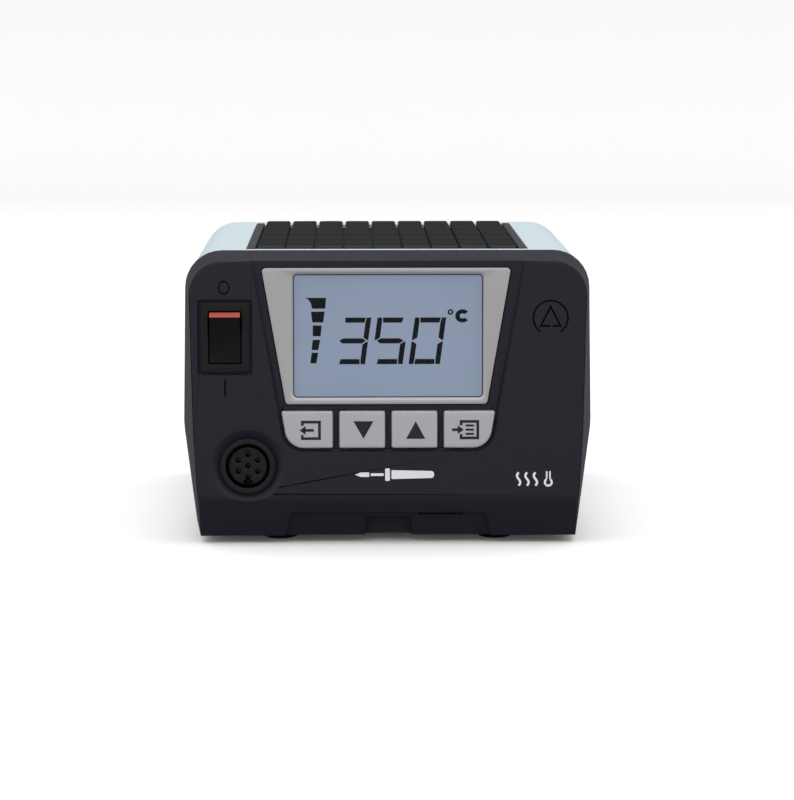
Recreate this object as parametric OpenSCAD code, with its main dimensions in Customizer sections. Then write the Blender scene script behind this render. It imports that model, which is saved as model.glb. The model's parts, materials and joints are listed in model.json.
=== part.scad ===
// Bench soldering iron station: a wedge-sided housing with a leaning control panel,
// a drip mat let into the painted top, and the transformer and boards it needs inside.
// X runs to the right of someone facing the panel, Y to the back and Z up.
// The origin is the middle of the footprint, on the bench.

/* [Housing] */
// Width across the widest part of the sides
body_w = 138; // [130:1:168]
// Depth from the front edge of the panel to the face of the mains inlet
body_d = 149; // [140:1:185]
// Height of the painted cover above the bench
cover_top = 97; // [96:1:120]
// Height of the body's underside above the bench
foot_h = 2.5; // [2.5:0.5:8]
// Width lost on each side between the knee of the side wall and the bottom edge
side_tuck = 4.4; // [2:0.2:7]
// Height of the knee, where the side walls are widest
knee_z = 38; // [30:1:45]
// Rounding of the two upper edges of the housing
shoulder_r = 12.5; // [8:0.5:16]
// Thickness of the sheet of the cover
sheet = 1; // [0.8:0.1:1.6]
// Thickness of the moulded base tray
tray_wall = 2; // [1.6:0.2:3]
// Height at which the cover meets the base tray
tray_top = 12; // [10:1:16]
// How deep the moulded front bezel is at its foremost edge
bezel_depth = 20.5; // [17:0.5:26]

/* [Front panel] */
// Height of the crease below which the front turns under
crease_z = 16; // [12:1:20]
// Angle by which the panel leans back
face_lean = 5; // [0:1:10]
// How far the bottom of the front is set back from the crease
lip_back = 4; // [2:0.5:6]
// Rounding of the crease
crease_r = 7; // [2:0.5:10]
// Rounding of the edge all round the face
face_edge_r = 0.6; // [0.3:0.1:1]
// Thickness of the panel behind its raised cheeks
face_wall = 3.4; // [3:0.2:4.4]
// Thickness of the other walls of the bezel
bezel_wall = 2.5; // [2:0.1:3]
// How far the panel's outline is drawn in from the sides at its top
draft_top = 1.4; // [1:0.1:3]
// How far the panel's outline is drawn in from the sides at the knee and below
draft_low = 4; // [2:0.2:5]
// How far the top edge of the panel lies below the cover
brow = 2.5; // [1.5:0.1:4]
// Depth of the channel between the two cheeks
channel_depth = 1.6; // [1:0.1:2]
// Angle by which the sides of the channel flare upwards
flare = 10; // [0:1:14]
// Distance along the panel from the crease to the bottom of the channel
channel_low = 15.5; // [13:0.5:18]
// Rounding of the bottom corners of the channel
channel_r = 7.5; // [5:0.5:9]
// Gap between the display trim and the sides of the channel
channel_gap = 3.7; // [2:0.1:5]

/* [Display] */
// Width of the display window
window_w = 63.2; // [50:0.2:66]
// Height of the display window
window_h = 41; // [34:0.5:42]
// Rounding of the corners of the window
window_r = 1.4; // [0.5:0.1:3]
// Width of the sloped edge of the trim around the window
window_bevel = 1.1; // [0.5:0.1:1.6]
// Width of the trim beside the bottom corners of the window
trim_side = 2.3; // [2:0.1:4]
// Width of the trim below the window
trim_low = 2.2; // [2:0.1:4]
// Width of the trim above the window
trim_high = 2.1; // [2:0.1:4]
// Sideways shift of the trim, which leaves a wider silver field on its left
trim_shift = -0.6; // [-1:0.1:1]
// Thickness of the trim plate
trim_t = 1.4; // [1:0.1:2]
// Thickness of the clear window
lens_t = 1.6; // [1:0.1:2]
// Thickness of the liquid crystal panel
lcd_t = 2.2; // [1.5:0.1:3]
// Thickness of the backlight behind it
backlight_t = 3.2; // [2:0.2:4]
// Thickness of every circuit board
board_t = 1.6; // [1:0.2:2]

/* [Keys] */
// Height of the four keys
key_h = 12.2; // [10:0.2:14]
// Width of each of the two middle keys
key_w = 15.1; // [12:0.1:17]
// Distance between neighbouring keys
key_pitch_gap = 2.3; // [1.8:0.1:3]
// Gap between the keys and the edge of the channel
key_moat = 1.25; // [1:0.05:2]
// Width of the bar between the keys and the display trim
key_bar = 2.3; // [2:0.1:4]
// How far a key can be pushed in
key_travel = 0.6; // [0.3:0.1:0.8]
// How far the keys stand proud of the cheeks
key_proud = 0.3; // [0:0.1:1]
// Diameter of the stem under each key
key_stem_d = 3.3; // [2.5:0.1:4]

/* [Power switch] */
// Distance of the switch from the widest line of the side wall
switch_in = 14.8; // [13:0.2:20]
// Distance along the panel from the crease to the middle of the switch
switch_up = 53.5; // [45:0.5:60]
// Width of the switch flange
switch_w = 16.2; // [15:0.1:18]
// Height of the switch flange
switch_h = 23; // [21:0.1:26]
// Gap around the flange in its recess
switch_rim = 0.9; // [0.5:0.1:1.5]
// Radius of the rocker's ends about its pivot
rocker_r = 9.4; // [9:0.1:10.6]
// Width of the rocker
rocker_w = 10.4; // [9:0.1:12]
// Depth of the rocker's pivot below the face of the flange
pivot_depth = 4.3; // [4:0.1:5]
// Angle between off and on
rocker_swing = 16; // [12:1:20]

/* [Tool socket] */
// Distance of the tool socket from the widest line of the side wall
socket_in = 22.2; // [20:0.2:30]
// Distance along the panel from the crease to the middle of the socket
socket_up = 10.65; // [10:0.5:16]
// Diameter of the socket's front ring
ring_d = 18.2; // [17:0.1:21]
// Diameter of the threaded barrel
barrel_d = 16; // [15.8:0.1:18]
// Diameter of the bore that takes the plug's sleeve
sleeve_d = 14.8; // [14:0.1:15]
// Diameter of the round contact carrier
carrier_d = 12.6; // [11:0.1:13]
// Diameter of the circle of contacts
contact_circle = 7.5; // [7:0.1:8.4]
// Diameter of each contact hole
contact_d = 1.8; // [1.4:0.1:2.2]
// Depth of the bore behind the ring
sleeve_depth = 12; // [9:0.5:15]
// Diameter of the dished hollow around the socket
dish_d = 24.4; // [22:0.2:28]

/* [Top mat] */
// Width of the pocket for the mat
mat_w = 95.8; // [80:0.2:110]
// Length of the pocket for the mat
mat_l = 105.5; // [90:0.5:115]
// Distance from the front of the cover to the pocket
mat_front = 9; // [6:0.5:14]
// Depth of the pocket
pocket_depth = 2.5; // [2:0.1:4]
// How far the mat stands above the cover
mat_proud = 1; // [0.5:0.1:2]
// Thickness of the mat under its blocks
mat_web = 1.2; // [0.8:0.1:1.6]
// Number of blocks across
mat_columns = 9; // [6:1:10]
// Number of blocks from front to back
mat_rows = 5; // [4:1:7]
// Width of the grooves between blocks
mat_groove = 1.1; // [0.8:0.1:2]
// Width of the smooth rim at each side of the mat
mat_rim = 2.9; // [2:0.1:4]

/* [Back] */
// Thickness of the back panel
back_t = 2; // [1.5:0.1:3]
// Thickness of the mains inlet's flange
inlet_flange_t = 2; // [1.5:0.1:3]
// Distance of the mains inlet from the widest line of the side wall
inlet_in = 36; // [34:0.5:45]
// Height of the mains inlet's middle above the body's underside
inlet_up = 31.5; // [29:0.5:40]
// Height of the fuse drawer
drawer_h = 8.6; // [8:0.1:9]
// How far the fuse drawer pulls out
drawer_travel = 16; // [12:1:16]
// Distance of the bonding socket from the widest line of the side wall
jack_in = 20; // [18:0.5:24]
// Height of the bonding socket above the body's underside
jack_up = 21.5; // [16:0.5:30]
// Diameter of the bonding socket's bore
jack_d = 3.6; // [3:0.1:4.2]
// Depth of the bonding socket's bore
jack_depth = 14; // [10:0.5:18]

/* [Feet] */
// Diameter of the rubber feet
foot_d = 14; // [10:0.5:14]
// Distance of the feet from the widest line of the side walls
foot_in = 32.6; // [28:0.2:38]
// Distance of the front feet from the foremost edge
foot_front = 16.5; // [15:0.5:18]
// Distance of the back feet from the back panel
foot_back = 14; // [12:0.5:20]

/* [Inside] */
// Outer diameter of the toroidal transformer
toroid_d = 86; // [70:1:88]
// Height of the toroidal transformer
toroid_h = 36; // [30:1:42]
// Diameter of the hole through the transformer
toroid_hole = 28; // [22:1:34]
// Length of the mains board
board_l = 74; // [66:1:80]
// Height of the mains board
board_h = 54; // [50:1:60]

/* [Clearances] */
// Clearance around pieces set into the housing
set_gap = 0.2; // [0.1:0.05:0.3]
// Clearance around the keys
key_gap = 0.4; // [0.3:0.05:0.6]
// Clearance around the rocker
rocker_gap = 0.3; // [0.2:0.05:0.4]
// Clearance around the fuse drawer
drawer_gap = 0.2; // [0.1:0.05:0.3]
// Diameter given to a screw hole beyond its screw
screw_gap = 0.4; // [0.2:0.1:0.6]

/* [Hidden] */

$fn = 48;
eps = 0.01;
cover_inset = 0.4;

// ---- Places worked out from the sizes above ----
half_w = body_w / 2;
front_y = -body_d / 2;
inlet_face_y = body_d / 2;
back_y = inlet_face_y - inlet_flange_t;
seam_y = front_y + bezel_depth;
shoulder_in = 1.1;
bottom_r = 2.5;
knee_r = 40;
panel_t = back_t;
under_z = foot_h + cover_inset;
floor_z = under_z + tray_wall;
top_inner_z = cover_top - cover_inset - sheet;

// Distances along the leaning panel, from the crease upwards
key_low = channel_low + key_moat;
key_top = key_low + key_h;
trim_low_v = key_top + key_bar;
window_low = trim_low_v + trim_low;
window_top = window_low + window_h;
trim_top_v = window_top + trim_high;
face_top = (cover_top - brow - crease_z) / cos(face_lean);

// Depths behind the cheeks
trim_front = -channel_depth + 0.8;
trim_back = trim_front - trim_t;
lens_back = trim_back - lens_t;
lcd_front = lens_back - 0.2;
lcd_back = lcd_front - lcd_t;
backlight_back = lcd_back - backlight_t;
board_front = backlight_back - 0.1;
board_back = board_front - board_t;

window_mid = window_low + window_h / 2;
lens_margin = 1.2;
switch_x = -half_w + switch_in;
socket_x = -half_w + socket_in;
inlet_x = -half_w + inlet_in;
inlet_z = foot_h + inlet_up;
jack_x = half_w - jack_in;
jack_z = foot_h + jack_up;

// ---- Outline helpers ----
function unit(v) = v / norm(v);

function left_normal(a, b) = let (e = unit(b - a)) [-e[1], e[0]];

// Corner i of a counter-clockwise outline, with both its edges moved inwards by d
function inset_corner(pts, i, d) =
    let (
        n = len(pts),
        n1 = left_normal(pts[(i + n - 1) % n], pts[i]),
        n2 = left_normal(pts[i], pts[(i + 1) % n])
    )
    pts[i] + (n1 + n2) * d / (1 + n1 * n2);

// Corner b between a and c as an arc of radius r
function arc_corner(a, b, c, r, steps) =
    let (
        u = unit(a - b),
        v = unit(c - b),
        half = acos(u * v) / 2,
        mid = b + unit(u + v) * r / sin(half),
        first = b + u * r / tan(half) - mid,
        from = atan2(first[1], first[0]),
        turn = 180 - 2 * half
    )
    [for (k = [0:steps]) mid + r * [cos(from + turn * k / steps), sin(from + turn * k / steps)]];

// A counter-clockwise outline moved inwards by d, with its corners rounded
function rounded(pts, radii, d = 0, steps = 8) =
    let (n = len(pts), q = [for (i = [0:n - 1]) inset_corner(pts, i, d)])
    [for (i = [0:n - 1])
        each arc_corner(q[(i + n - 1) % n], q[i], q[(i + 1) % n], max(radii[i] - d, 0.3), steps)];

// Cross-section of the housing across X and Z, moved inwards by d
function body_outline(d = 0) =
    rounded(
        [
            [-half_w + side_tuck, foot_h], [half_w - side_tuck, foot_h], [half_w, knee_z],
            [half_w - shoulder_in, cover_top], [-half_w + shoulder_in, cover_top],
            [-half_w, knee_z]
        ],
        [bottom_r, bottom_r, knee_r, shoulder_r, shoulder_r, knee_r], d
    );

// Half-width of the foremost outline of the front at the bottom edge, crease and knee
lip_half = half_w - side_tuck - 0.45 * draft_low;
knee_half = half_w - draft_low;
crease_half = lip_half + (knee_half - lip_half) * (crease_z - foot_h) / (knee_z - foot_h);
knee_v = (knee_z - crease_z) / cos(face_lean);

// The crease is an arc that touches the face at v = crease_run and turns through crease_turn
lip_angle = atan(lip_back / (crease_z - foot_h));
crease_turn = face_lean + lip_angle;
crease_run = crease_r * tan(crease_turn / 2);

function face_half(v) = crease_half + (knee_half - crease_half) * v / knee_v;

// Outline of the leaning face across X and along the panel, moved inwards by d
function face_outline(d = 0) =
    rounded(
        [
            [-face_half(crease_run), crease_run], [face_half(crease_run), crease_run],
            [knee_half, knee_v],
            [half_w - shoulder_in - draft_top, face_top],
            [-half_w + shoulder_in + draft_top, face_top], [-knee_half, knee_v]
        ],
        [0.3, 0.3, knee_r, shoulder_r - 1.5, shoulder_r - 1.5, knee_r], d
    );

// Half-width at distance v along the panel of a flared outline that is w wide at the window's foot
function flared(w, v) = w + (v - window_low) * tan(flare);

trim_half = window_w / 2 + trim_side;
channel_half = trim_half + channel_gap;

function trim_outline(d = 0) =
    rounded(
        [
            [-flared(trim_half, trim_low_v), trim_low_v], [flared(trim_half, trim_low_v), trim_low_v],
            [flared(trim_half, trim_top_v), trim_top_v], [-flared(trim_half, trim_top_v), trim_top_v]
        ],
        [1.2, 1.2, 1.2, 1.2], d, 4
    );

channel_top = face_top + 6;

function channel_outline(d = 0) =
    rounded(
        [
            [-flared(channel_half, channel_low), channel_low],
            [flared(channel_half, channel_low), channel_low],
            [flared(channel_half, channel_top), channel_top],
            [-flared(channel_half, channel_top), channel_top]
        ],
        [channel_r, channel_r, 1, 1], d
    );

// Keys: the middle ones are rectangles, the outer ones follow the side of the channel
key_edge_half = channel_half - key_moat / cos(flare);
key_inner = key_pitch_gap / 2 + key_w + key_pitch_gap;
key_r = 0.5;

function middle_key_pts() = [
    [key_pitch_gap / 2, key_low], [key_pitch_gap / 2 + key_w, key_low],
    [key_pitch_gap / 2 + key_w, key_top], [key_pitch_gap / 2, key_top]
];

function outer_key_pts() = [
    [key_inner, key_low], [flared(key_edge_half, key_low), key_low],
    [flared(key_edge_half, key_top), key_top], [key_inner, key_top]
];

function middle_key(d = 0) = rounded(middle_key_pts(), [key_r, key_r, key_r, key_r], d, 4);

function outer_key(d = 0) =
    rounded(outer_key_pts(), [key_r, channel_r - key_moat, key_r, key_r], d, 6);

outer_key_mid = (key_inner + flared(key_edge_half, key_low)) / 2;
middle_key_mid = (key_pitch_gap + key_w) / 2;
key_mid_v = (key_low + key_top) / 2;

// ---- Frames ----
// Puts a shape drawn on the panel in place: X across, Y along the panel from the crease, Z outwards
module on_panel() {
    translate([0, front_y, crease_z]) rotate([90 - face_lean, 0, 0]) children();
}

// The same for the lip below the crease, which turns under: Y still points up along it
module on_lip() {
    translate([0, front_y, crease_z]) rotate([90 + lip_angle, 0, 0]) children();
}

// Extrudes an outline drawn across X and Z from y0 back to y1
module along_y(y0, y1) {
    translate([0, y1, 0]) rotate([90, 0, 0]) linear_extrude(y1 - y0) children();
}

// A cylinder along Y from y0 back to y1
module rod_y(x, z, d, y0, y1) {
    translate([x, y1, z]) rotate([90, 0, 0]) cylinder(d = d, h = y1 - y0);
}

// A prism on the panel between two depths
module on_panel_slab(pts, w0, w1) {
    on_panel() translate([0, 0, w0]) linear_extrude(w1 - w0) polygon(pts);
}

// A box given by its two opposite corners
module box(low, high) {
    translate(low) cube(high - low);
}

module rounded_box(size, r) {
    x = size[0] / 2;
    y = size[1] / 2;
    linear_extrude(size[2])
        polygon(rounded([[-x, -y], [x, -y], [x, y], [-x, y]], [r, r, r, r], 0, 4));
}

// A flat-headed machine screw along Z, its head seated at z = 0 and its shank below
module pan_screw(d, length, head_d, head_h) {
    cylinder(d = head_d, h = head_h);
    translate([0, 0, -length]) cylinder(d = d, h = length);
}

// ---- Wires: a round tube swept along a smoothed route ----
function smoothed(p) =
    concat(
        [p[0]],
        [for (i = [0:len(p) - 2]) each [p[i] * 0.75 + p[i + 1] * 0.25, p[i] * 0.25 + p[i + 1] * 0.75]],
        [p[len(p) - 1]]
    );

function heading(p, i) = unit(p[min(i + 1, len(p) - 1)] - p[max(i - 1, 0)]);

// Side directions carried along the route with the least turning
function sides(p, i, last) =
    i >= len(p) ? [] :
    let (t = heading(p, i), s = unit(last - t * (last * t)))
    concat([s], sides(p, i + 1, s));

wire_sides = 8;

module wire(route, d) {
    p = smoothed(smoothed(route));
    first = cross(heading(p, 0), [0.3, 0.5, 0.8]);
    s = sides(p, 0, unit(first));
    rings = [for (i = [0:len(p) - 1]) let (u = s[i], v = cross(heading(p, i), s[i]))
        for (k = [0:wire_sides - 1])
            p[i] + (u * cos(360 * k / wire_sides) + v * sin(360 * k / wire_sides)) * d / 2];
    skin = [for (i = [0:len(p) - 2]) for (k = [0:wire_sides - 1])
        let (a = i * wire_sides + k, b = i * wire_sides + (k + 1) % wire_sides)
        [a, a + wire_sides, b + wire_sides, b]];
    last = (len(p) - 1) * wire_sides;
    polyhedron(
        rings,
        concat(
            skin,
            [[for (k = [0:wire_sides - 1]) k]],
            [[for (k = [wire_sides - 1:-1:0]) last + k]]
        )
    );
}

// ---- Housing ----
bezel_boss_d = 6.4;
bezel_screw_d = 3;
low_boss = [half_w - 19, foot_h + 7.4];
high_boss = [half_w - 11, cover_top - 9];
bezel_boss_places = [
    [low_boss[0], low_boss[1]], [-low_boss[0], low_boss[1]],
    [high_boss[0], high_boss[1]], [-high_boss[0], high_boss[1]]
];

crease_steps = 5;
edge_steps = 3;

// Solid wedge between the seam and the leaning face: the outer form of the bezel
module bezel_form() {
    hull() {
        along_y(seam_y - eps, seam_y) polygon(body_outline());
        for (k = [0:edge_steps]) let (a = 90 * k / edge_steps)
            on_panel_slab(face_outline(face_edge_r * (1 - sin(a))), -face_edge_r * (1 - cos(a)) - eps,
                          -face_edge_r * (1 - cos(a)));
        for (k = [1:crease_steps]) let (a = crease_turn * k / crease_steps)
            on_panel() translate([0, crease_run - crease_r * sin(a), -crease_r * (1 - cos(a))])
                cube([2 * face_half(crease_run - crease_r * sin(a)) - 2 * face_edge_r, eps, eps], center = true);
        box([-lip_half, front_y + lip_back, foot_h], [lip_half, seam_y, foot_h + eps]);
    }
}

// The hollow inside it
module bezel_hollow() {
    hull() {
        along_y(seam_y - eps, seam_y + eps) polygon(body_outline(bezel_wall));
        on_panel_slab(face_outline(bezel_wall), -face_wall - eps, -face_wall);
        box([-lip_half + bezel_wall, front_y + lip_back + face_wall, foot_h - 2],
            [lip_half - bezel_wall, seam_y, foot_h - 2 + eps]);
    }
}

recess_half = 32.5;
recess_top = foot_h + 8.3;
recess_depth = 1.4;
slot_x = 10.1;
slot_w = 14.9;
slot_depth = 1.2;
notch_half = 7.75;
notch_top = foot_h + 6.5;
notch_depth = 4.5;
board_boss_x = window_w / 2 + 6.9;
board_boss_v = [window_low + 2.4, window_top - 2];
board_boss_d = 5.6;
switch_body_w = 13.6;
switch_body_h = 19.8;
dish_depth = 1.7;
nut_d = barrel_d + 5.4;

module front_bezel() {
    color([0.175, 0.172, 0.2]) difference() {
        union() {
            difference() {
                bezel_form();
                bezel_hollow();
            }
            bezel_bosses();
            on_panel() for (x = [-board_boss_x, board_boss_x], v = board_boss_v)
                translate([x, v, board_front]) cylinder(d = board_boss_d, h = -board_front - 2);
            box([-notch_half - 1.6, front_y + lip_back - 0.6, foot_h],
                [notch_half + 1.6, front_y + lip_back + notch_depth + 1, notch_top + 2]);
        }
        on_panel_slab(channel_outline(), -channel_depth, 4);
        bezel_display_cuts();
        bezel_key_cuts();
        bezel_switch_cut();
        bezel_socket_cut();
        bezel_foot_cuts();
        for (p = bezel_boss_places)
            rod_y(p[0], p[1], bezel_screw_d - 0.4, seam_y - 8, seam_y + 1);
        on_panel() for (x = [-board_boss_x, board_boss_x], v = board_boss_v)
            translate([x, v, board_front - 1]) cylinder(d = 2, h = 6);
    }
}

module bezel_bosses() {
    intersection() {
        for (p = bezel_boss_places)
            rod_y(p[0], p[1], bezel_boss_d, front_y, seam_y);
        bezel_form();
    }
}

module bezel_display_cuts() {
    translate([trim_shift, 0, 0]) on_panel_slab(trim_outline(-set_gap), trim_back, 1);
    on_panel() translate([0, window_mid, -face_wall - 4])
        rounded_box([window_w + 2 * lens_margin + 2 * set_gap,
                     window_h + 2 * lens_margin + 2 * set_gap, 8 + face_wall], window_r);
}

module bezel_key_cuts() {
    for (side = [0, 1]) mirror([side, 0, 0]) {
        on_panel_slab(middle_key(-key_gap), -face_wall - 4, 1);
        on_panel_slab(outer_key(-key_gap), -face_wall - 4, 1);
    }
}

module bezel_switch_cut() {
    on_panel() translate([switch_x, switch_up, 0]) {
        translate([0, 0, -1.2])
            rounded_box([switch_w + 2 * switch_rim, switch_h + 2 * switch_rim, 3], 0.6);
        translate([0, 0, -face_wall - 4])
            rounded_box([switch_body_w + 2 * set_gap, switch_body_h + 2 * set_gap, face_wall + 6], 0.4);
    }
}

module bezel_socket_cut() {
    on_panel() translate([socket_x, socket_up, 0]) {
        translate([0, 0, -dish_depth])
            cylinder(d1 = ring_d + 2 * set_gap, d2 = dish_d, h = dish_depth + eps);
        translate([0, 0, -face_wall - 4]) cylinder(d = barrel_d + 2 * set_gap, h = face_wall + 5);
        translate([0, 0, -face_wall - 5]) cylinder(d = nut_d + 1, h = 5);
    }
}

// A shallow hollow along the bottom of the front, with a deeper notch and a slot in it
module bezel_foot_cuts() {
    top_v = -(crease_z - recess_top) / cos(lip_angle);
    low_v = -(crease_z - foot_h) / cos(lip_angle) - 3;
    on_lip() {
        translate([0, 0, -recess_depth]) linear_extrude(6) polygon([
            [-recess_half - 2.6, low_v], [recess_half + 2.6, low_v],
            [recess_half, top_v], [-recess_half, top_v]
        ]);
        translate([slot_x, top_v - 1.6, -recess_depth - slot_depth]) cube([slot_w, 1.2, 3 + slot_depth]);
    }
    box([-notch_half, front_y - 1, foot_h - 1],
        [notch_half, front_y + lip_back + notch_depth, notch_top]);
}

module top_cover() {
    color([0.8, 0.87, 0.89]) {
        difference() {
            union() {
                difference() {
                    along_y(seam_y, back_y) polygon(body_outline(cover_inset));
                    along_y(seam_y - 1, back_y + 1) polygon(body_outline(cover_inset + sheet));
                }
                mat_pocket_block();
                cover_tabs();
            }
            mat_pocket_hole();
            box([-body_w, -body_d, 0], [body_w, body_d, tray_top]);
            for (p = [high_boss, [-high_boss[0], high_boss[1]]])
                rod_y(p[0], p[1], bezel_screw_d + screw_gap, seam_y - 1, seam_y + 3);
            for (p = rear_high_places)
                rod_y(p[0], p[1], rear_screw_d - 0.4, back_y - 6, back_y);
        }
    }
}

pocket_y0 = seam_y + mat_front;
pocket_y1 = pocket_y0 + mat_l;
pocket_z = cover_top - cover_inset - pocket_depth;
mat_top = cover_top + mat_proud;

module mat_pocket_block() {
    box([-mat_w / 2 - sheet, pocket_y0 - sheet, pocket_z - sheet],
        [mat_w / 2 + sheet, pocket_y1 + sheet, cover_top - cover_inset]);
}

module mat_pocket_hole() {
    box([-mat_w / 2, pocket_y0, pocket_z], [mat_w / 2, pocket_y1, cover_top + 1]);
}

rear_screw_d = 3;
rear_high_places = [[half_w - 13, cover_top - 11], [-half_w + 13, cover_top - 11]];
rear_low_places = [[half_w - 13, foot_h + 8], [-half_w + 13, foot_h + 8]];

// Tabs bent down inside the cover, which take the bezel's and back panel's screws
tab_t = 1.2;

module cover_tabs() {
    intersection() {
        for (side = [0, 1]) mirror([side, 0, 0]) {
            box([high_boss[0] - 6, seam_y, high_boss[1] - 6], [half_w, seam_y + tab_t, cover_top]);
            box([rear_high_places[0][0] - 7, back_y - panel_t - tab_t, rear_high_places[0][1] - 6],
                [half_w, back_y - panel_t, cover_top]);
        }
        along_y(seam_y, back_y) polygon(body_outline(cover_inset + sheet / 2));
    }
}

tray_front = front_y + 9.9;
tray_inset = cover_inset + tray_wall;
tray_nose = lip_half - bezel_wall - 0.4;
tray_root = tray_nose + 1;
vent_count = 7;
vent_w = 3;
vent_l = 22;
vent_pitch = 8;
foot_places = [
    for (x = [-(half_w - foot_in), (half_w - foot_in)], y = [front_y + foot_front, back_y - foot_back]) [x, y]
];
foot_stem_d = 4;
toroid_x = half_w - 9 - toroid_d / 2;
toroid_y = back_y - 8 - toroid_d / 2;
stud_place = [inlet_x + 5, back_y - 42];

module base_tray() {
    color([0.16, 0.16, 0.18]) difference() {
        union() {
            difference() {
                along_y(seam_y, back_y) polygon(body_outline(cover_inset));
                along_y(seam_y - 1, back_y + 1) polygon(body_outline(tray_inset));
                box([-body_w, -body_d, tray_top], [body_w, body_d, cover_top + 1]);
            }
            translate([0, 0, under_z]) linear_extrude(tray_wall) polygon([
                [-tray_nose, tray_front], [tray_nose, tray_front],
                [tray_root, seam_y + 1], [-tray_root, seam_y + 1]
            ]);
            for (side = [-1, 1])
                box([side * low_boss[0] - 6, seam_y, under_z + 1],
                    [side * low_boss[0] + 6, seam_y + 2, low_boss[1] + 5]);
            for (side = [-1, 1])
                box([side * rear_low_places[0][0] - 5, back_y - panel_t - 2.2, under_z + 1],
                    [side * rear_low_places[0][0] + 5, back_y - panel_t - 0.2, rear_low_places[0][1] + 5]);
        }
        for (p = foot_places)
            translate([p[0], p[1], foot_h - 1]) cylinder(d = foot_stem_d, h = tray_wall + 2);
        for (p = [low_boss, [-low_boss[0], low_boss[1]]])
            rod_y(p[0], p[1], bezel_screw_d + screw_gap, seam_y - 1, seam_y + 3);
        for (p = rear_low_places)
            rod_y(p[0], p[1], rear_screw_d - 0.4, back_y - 8, back_y);
        for (i = [0:vent_count - 1])
            translate([(i - (vent_count - 1) / 2) * vent_pitch - vent_w / 2, seam_y + 6, foot_h - 1])
                cube([vent_w, vent_l, tray_wall + 3]);
        translate([toroid_x, toroid_y, foot_h - 1]) cylinder(d = bolt_d + 2 * set_gap, h = tray_wall + 2);
        translate([toroid_x, toroid_y, under_z - 1]) cylinder(d = bolt_head_d + 1, h = 1 + bolt_sink);
        for (y = bracket_screw_y)
            translate([bracket_x + 7, y, foot_h - 1]) cylinder(d = 3 + screw_gap, h = tray_wall + 2);
    }
}

back_vents = 12;
back_vent_pitch = 6;

// Back panel: inside the cover above the tray's rim, inside the tray below it
module rear_panel() {
    color([0.3, 0.31, 0.33]) difference() {
        union() {
            intersection() {
                along_y(back_y - panel_t, back_y) polygon(body_outline(cover_inset + sheet + set_gap));
                box([-body_w, -body_d, tray_top + set_gap], [body_w, body_d, cover_top]);
            }
            intersection() {
                along_y(back_y - panel_t, back_y) polygon(body_outline(tray_inset + set_gap));
                box([-body_w, -body_d, 0], [body_w, body_d, tray_top + 1]);
            }
        }
        box([inlet_x - inlet_body_w / 2 - set_gap, back_y - 5, inlet_z - inlet_body_h / 2 - set_gap],
            [inlet_x + inlet_body_w / 2 + set_gap, back_y + 1, inlet_z + inlet_body_h / 2 + set_gap]);
        for (side = [-1, 1])
            rod_y(inlet_x + side * inlet_screw_x, inlet_z, 3 + screw_gap, back_y - 5, back_y + 1);
        rod_y(jack_x, jack_z, jack_body_d + 2 * set_gap, back_y - 5, back_y + 1);
        for (p = concat(rear_high_places, rear_low_places))
            rod_y(p[0], p[1], rear_screw_d + screw_gap, back_y - 5, back_y + 1);
        for (i = [0:back_vents - 1])
            translate([(i - (back_vents - 1) / 2) * back_vent_pitch - vent_w / 2, back_y - 5, cover_top - 38])
                cube([vent_w, 6, vent_l]);
    }
}

// One foot: a dome cut flat underneath, with a stem through the tray and a bead above it
foot_flat = 0.62;

module rubber_feet() {
    color([0.08, 0.08, 0.08]) for (p = foot_places) translate([p[0], p[1], 0]) rotate_extrude() {
        polygon(concat(
            [[0, 0], [foot_d / 2 * foot_flat, 0]],
            [for (k = [1:6]) [
                foot_d / 2 * (foot_flat + (1 - foot_flat) * sin(15 * k)), under_z * (1 - cos(15 * k))
            ]],
            [
                [foot_stem_d / 2, under_z], [foot_stem_d / 2, floor_z],
                [foot_stem_d / 2 + 0.7, floor_z], [foot_stem_d / 2 - 0.5, floor_z + 2.4],
                [0, floor_z + 2.4]
            ]
        ));
    }
}

mat_gap = 1;
mat_field = mat_w - 2 * (set_gap + mat_rim + mat_gap);
mat_field_l = mat_l - 2 * (set_gap + mat_gap);

module mat_pad() {
    low = [-mat_w / 2 + set_gap, pocket_y0 + set_gap, pocket_z];
    high = [mat_w / 2 - set_gap, pocket_y1 - set_gap, mat_top];
    web_top = pocket_z + mat_web;
    pitch_x = (mat_field + mat_groove) / mat_columns;
    pitch_y = (mat_field_l + mat_groove) / mat_rows;
    first_x = -mat_field / 2;
    first_y = pocket_y0 + set_gap + mat_gap;
    color([0.2, 0.2, 0.2]) difference() {
        box(low, high);
        for (i = [1:mat_columns - 1])
            box([first_x + i * pitch_x - mat_groove, low[1] - 1, web_top],
                [first_x + i * pitch_x, high[1] + 1, mat_top + 1]);
        for (side = [-1, 1])
            box([side * (mat_field / 2 + mat_gap / 2) - mat_gap / 2, low[1] - 1, web_top],
                [side * (mat_field / 2 + mat_gap / 2) + mat_gap / 2, high[1] + 1, mat_top + 1]);
        for (j = [1:mat_rows - 1])
            box([first_x - eps, first_y + j * pitch_y - mat_groove, web_top],
                [-first_x + eps, first_y + j * pitch_y, mat_top + 1]);
        for (y = [low[1] - 1, first_y + mat_field_l])
            box([first_x - eps, y, web_top], [-first_x + eps, y + mat_gap + 1, mat_top + 1]);
    }
}

// ---- Display ----
module display_trim() {
    color([0.66, 0.66, 0.66]) difference() {
        translate([trim_shift, 0, 0]) on_panel_slab(trim_outline(), trim_back, trim_front);
        on_panel() translate([0, window_mid, trim_back - 1])
            rounded_box([window_w, window_h, trim_t + 2], window_r);
        on_panel() translate([0, window_mid, trim_front - 0.5])
            rounded_box([window_w + window_bevel, window_h + window_bevel, 1], window_r + 0.5);
    }
}

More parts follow.
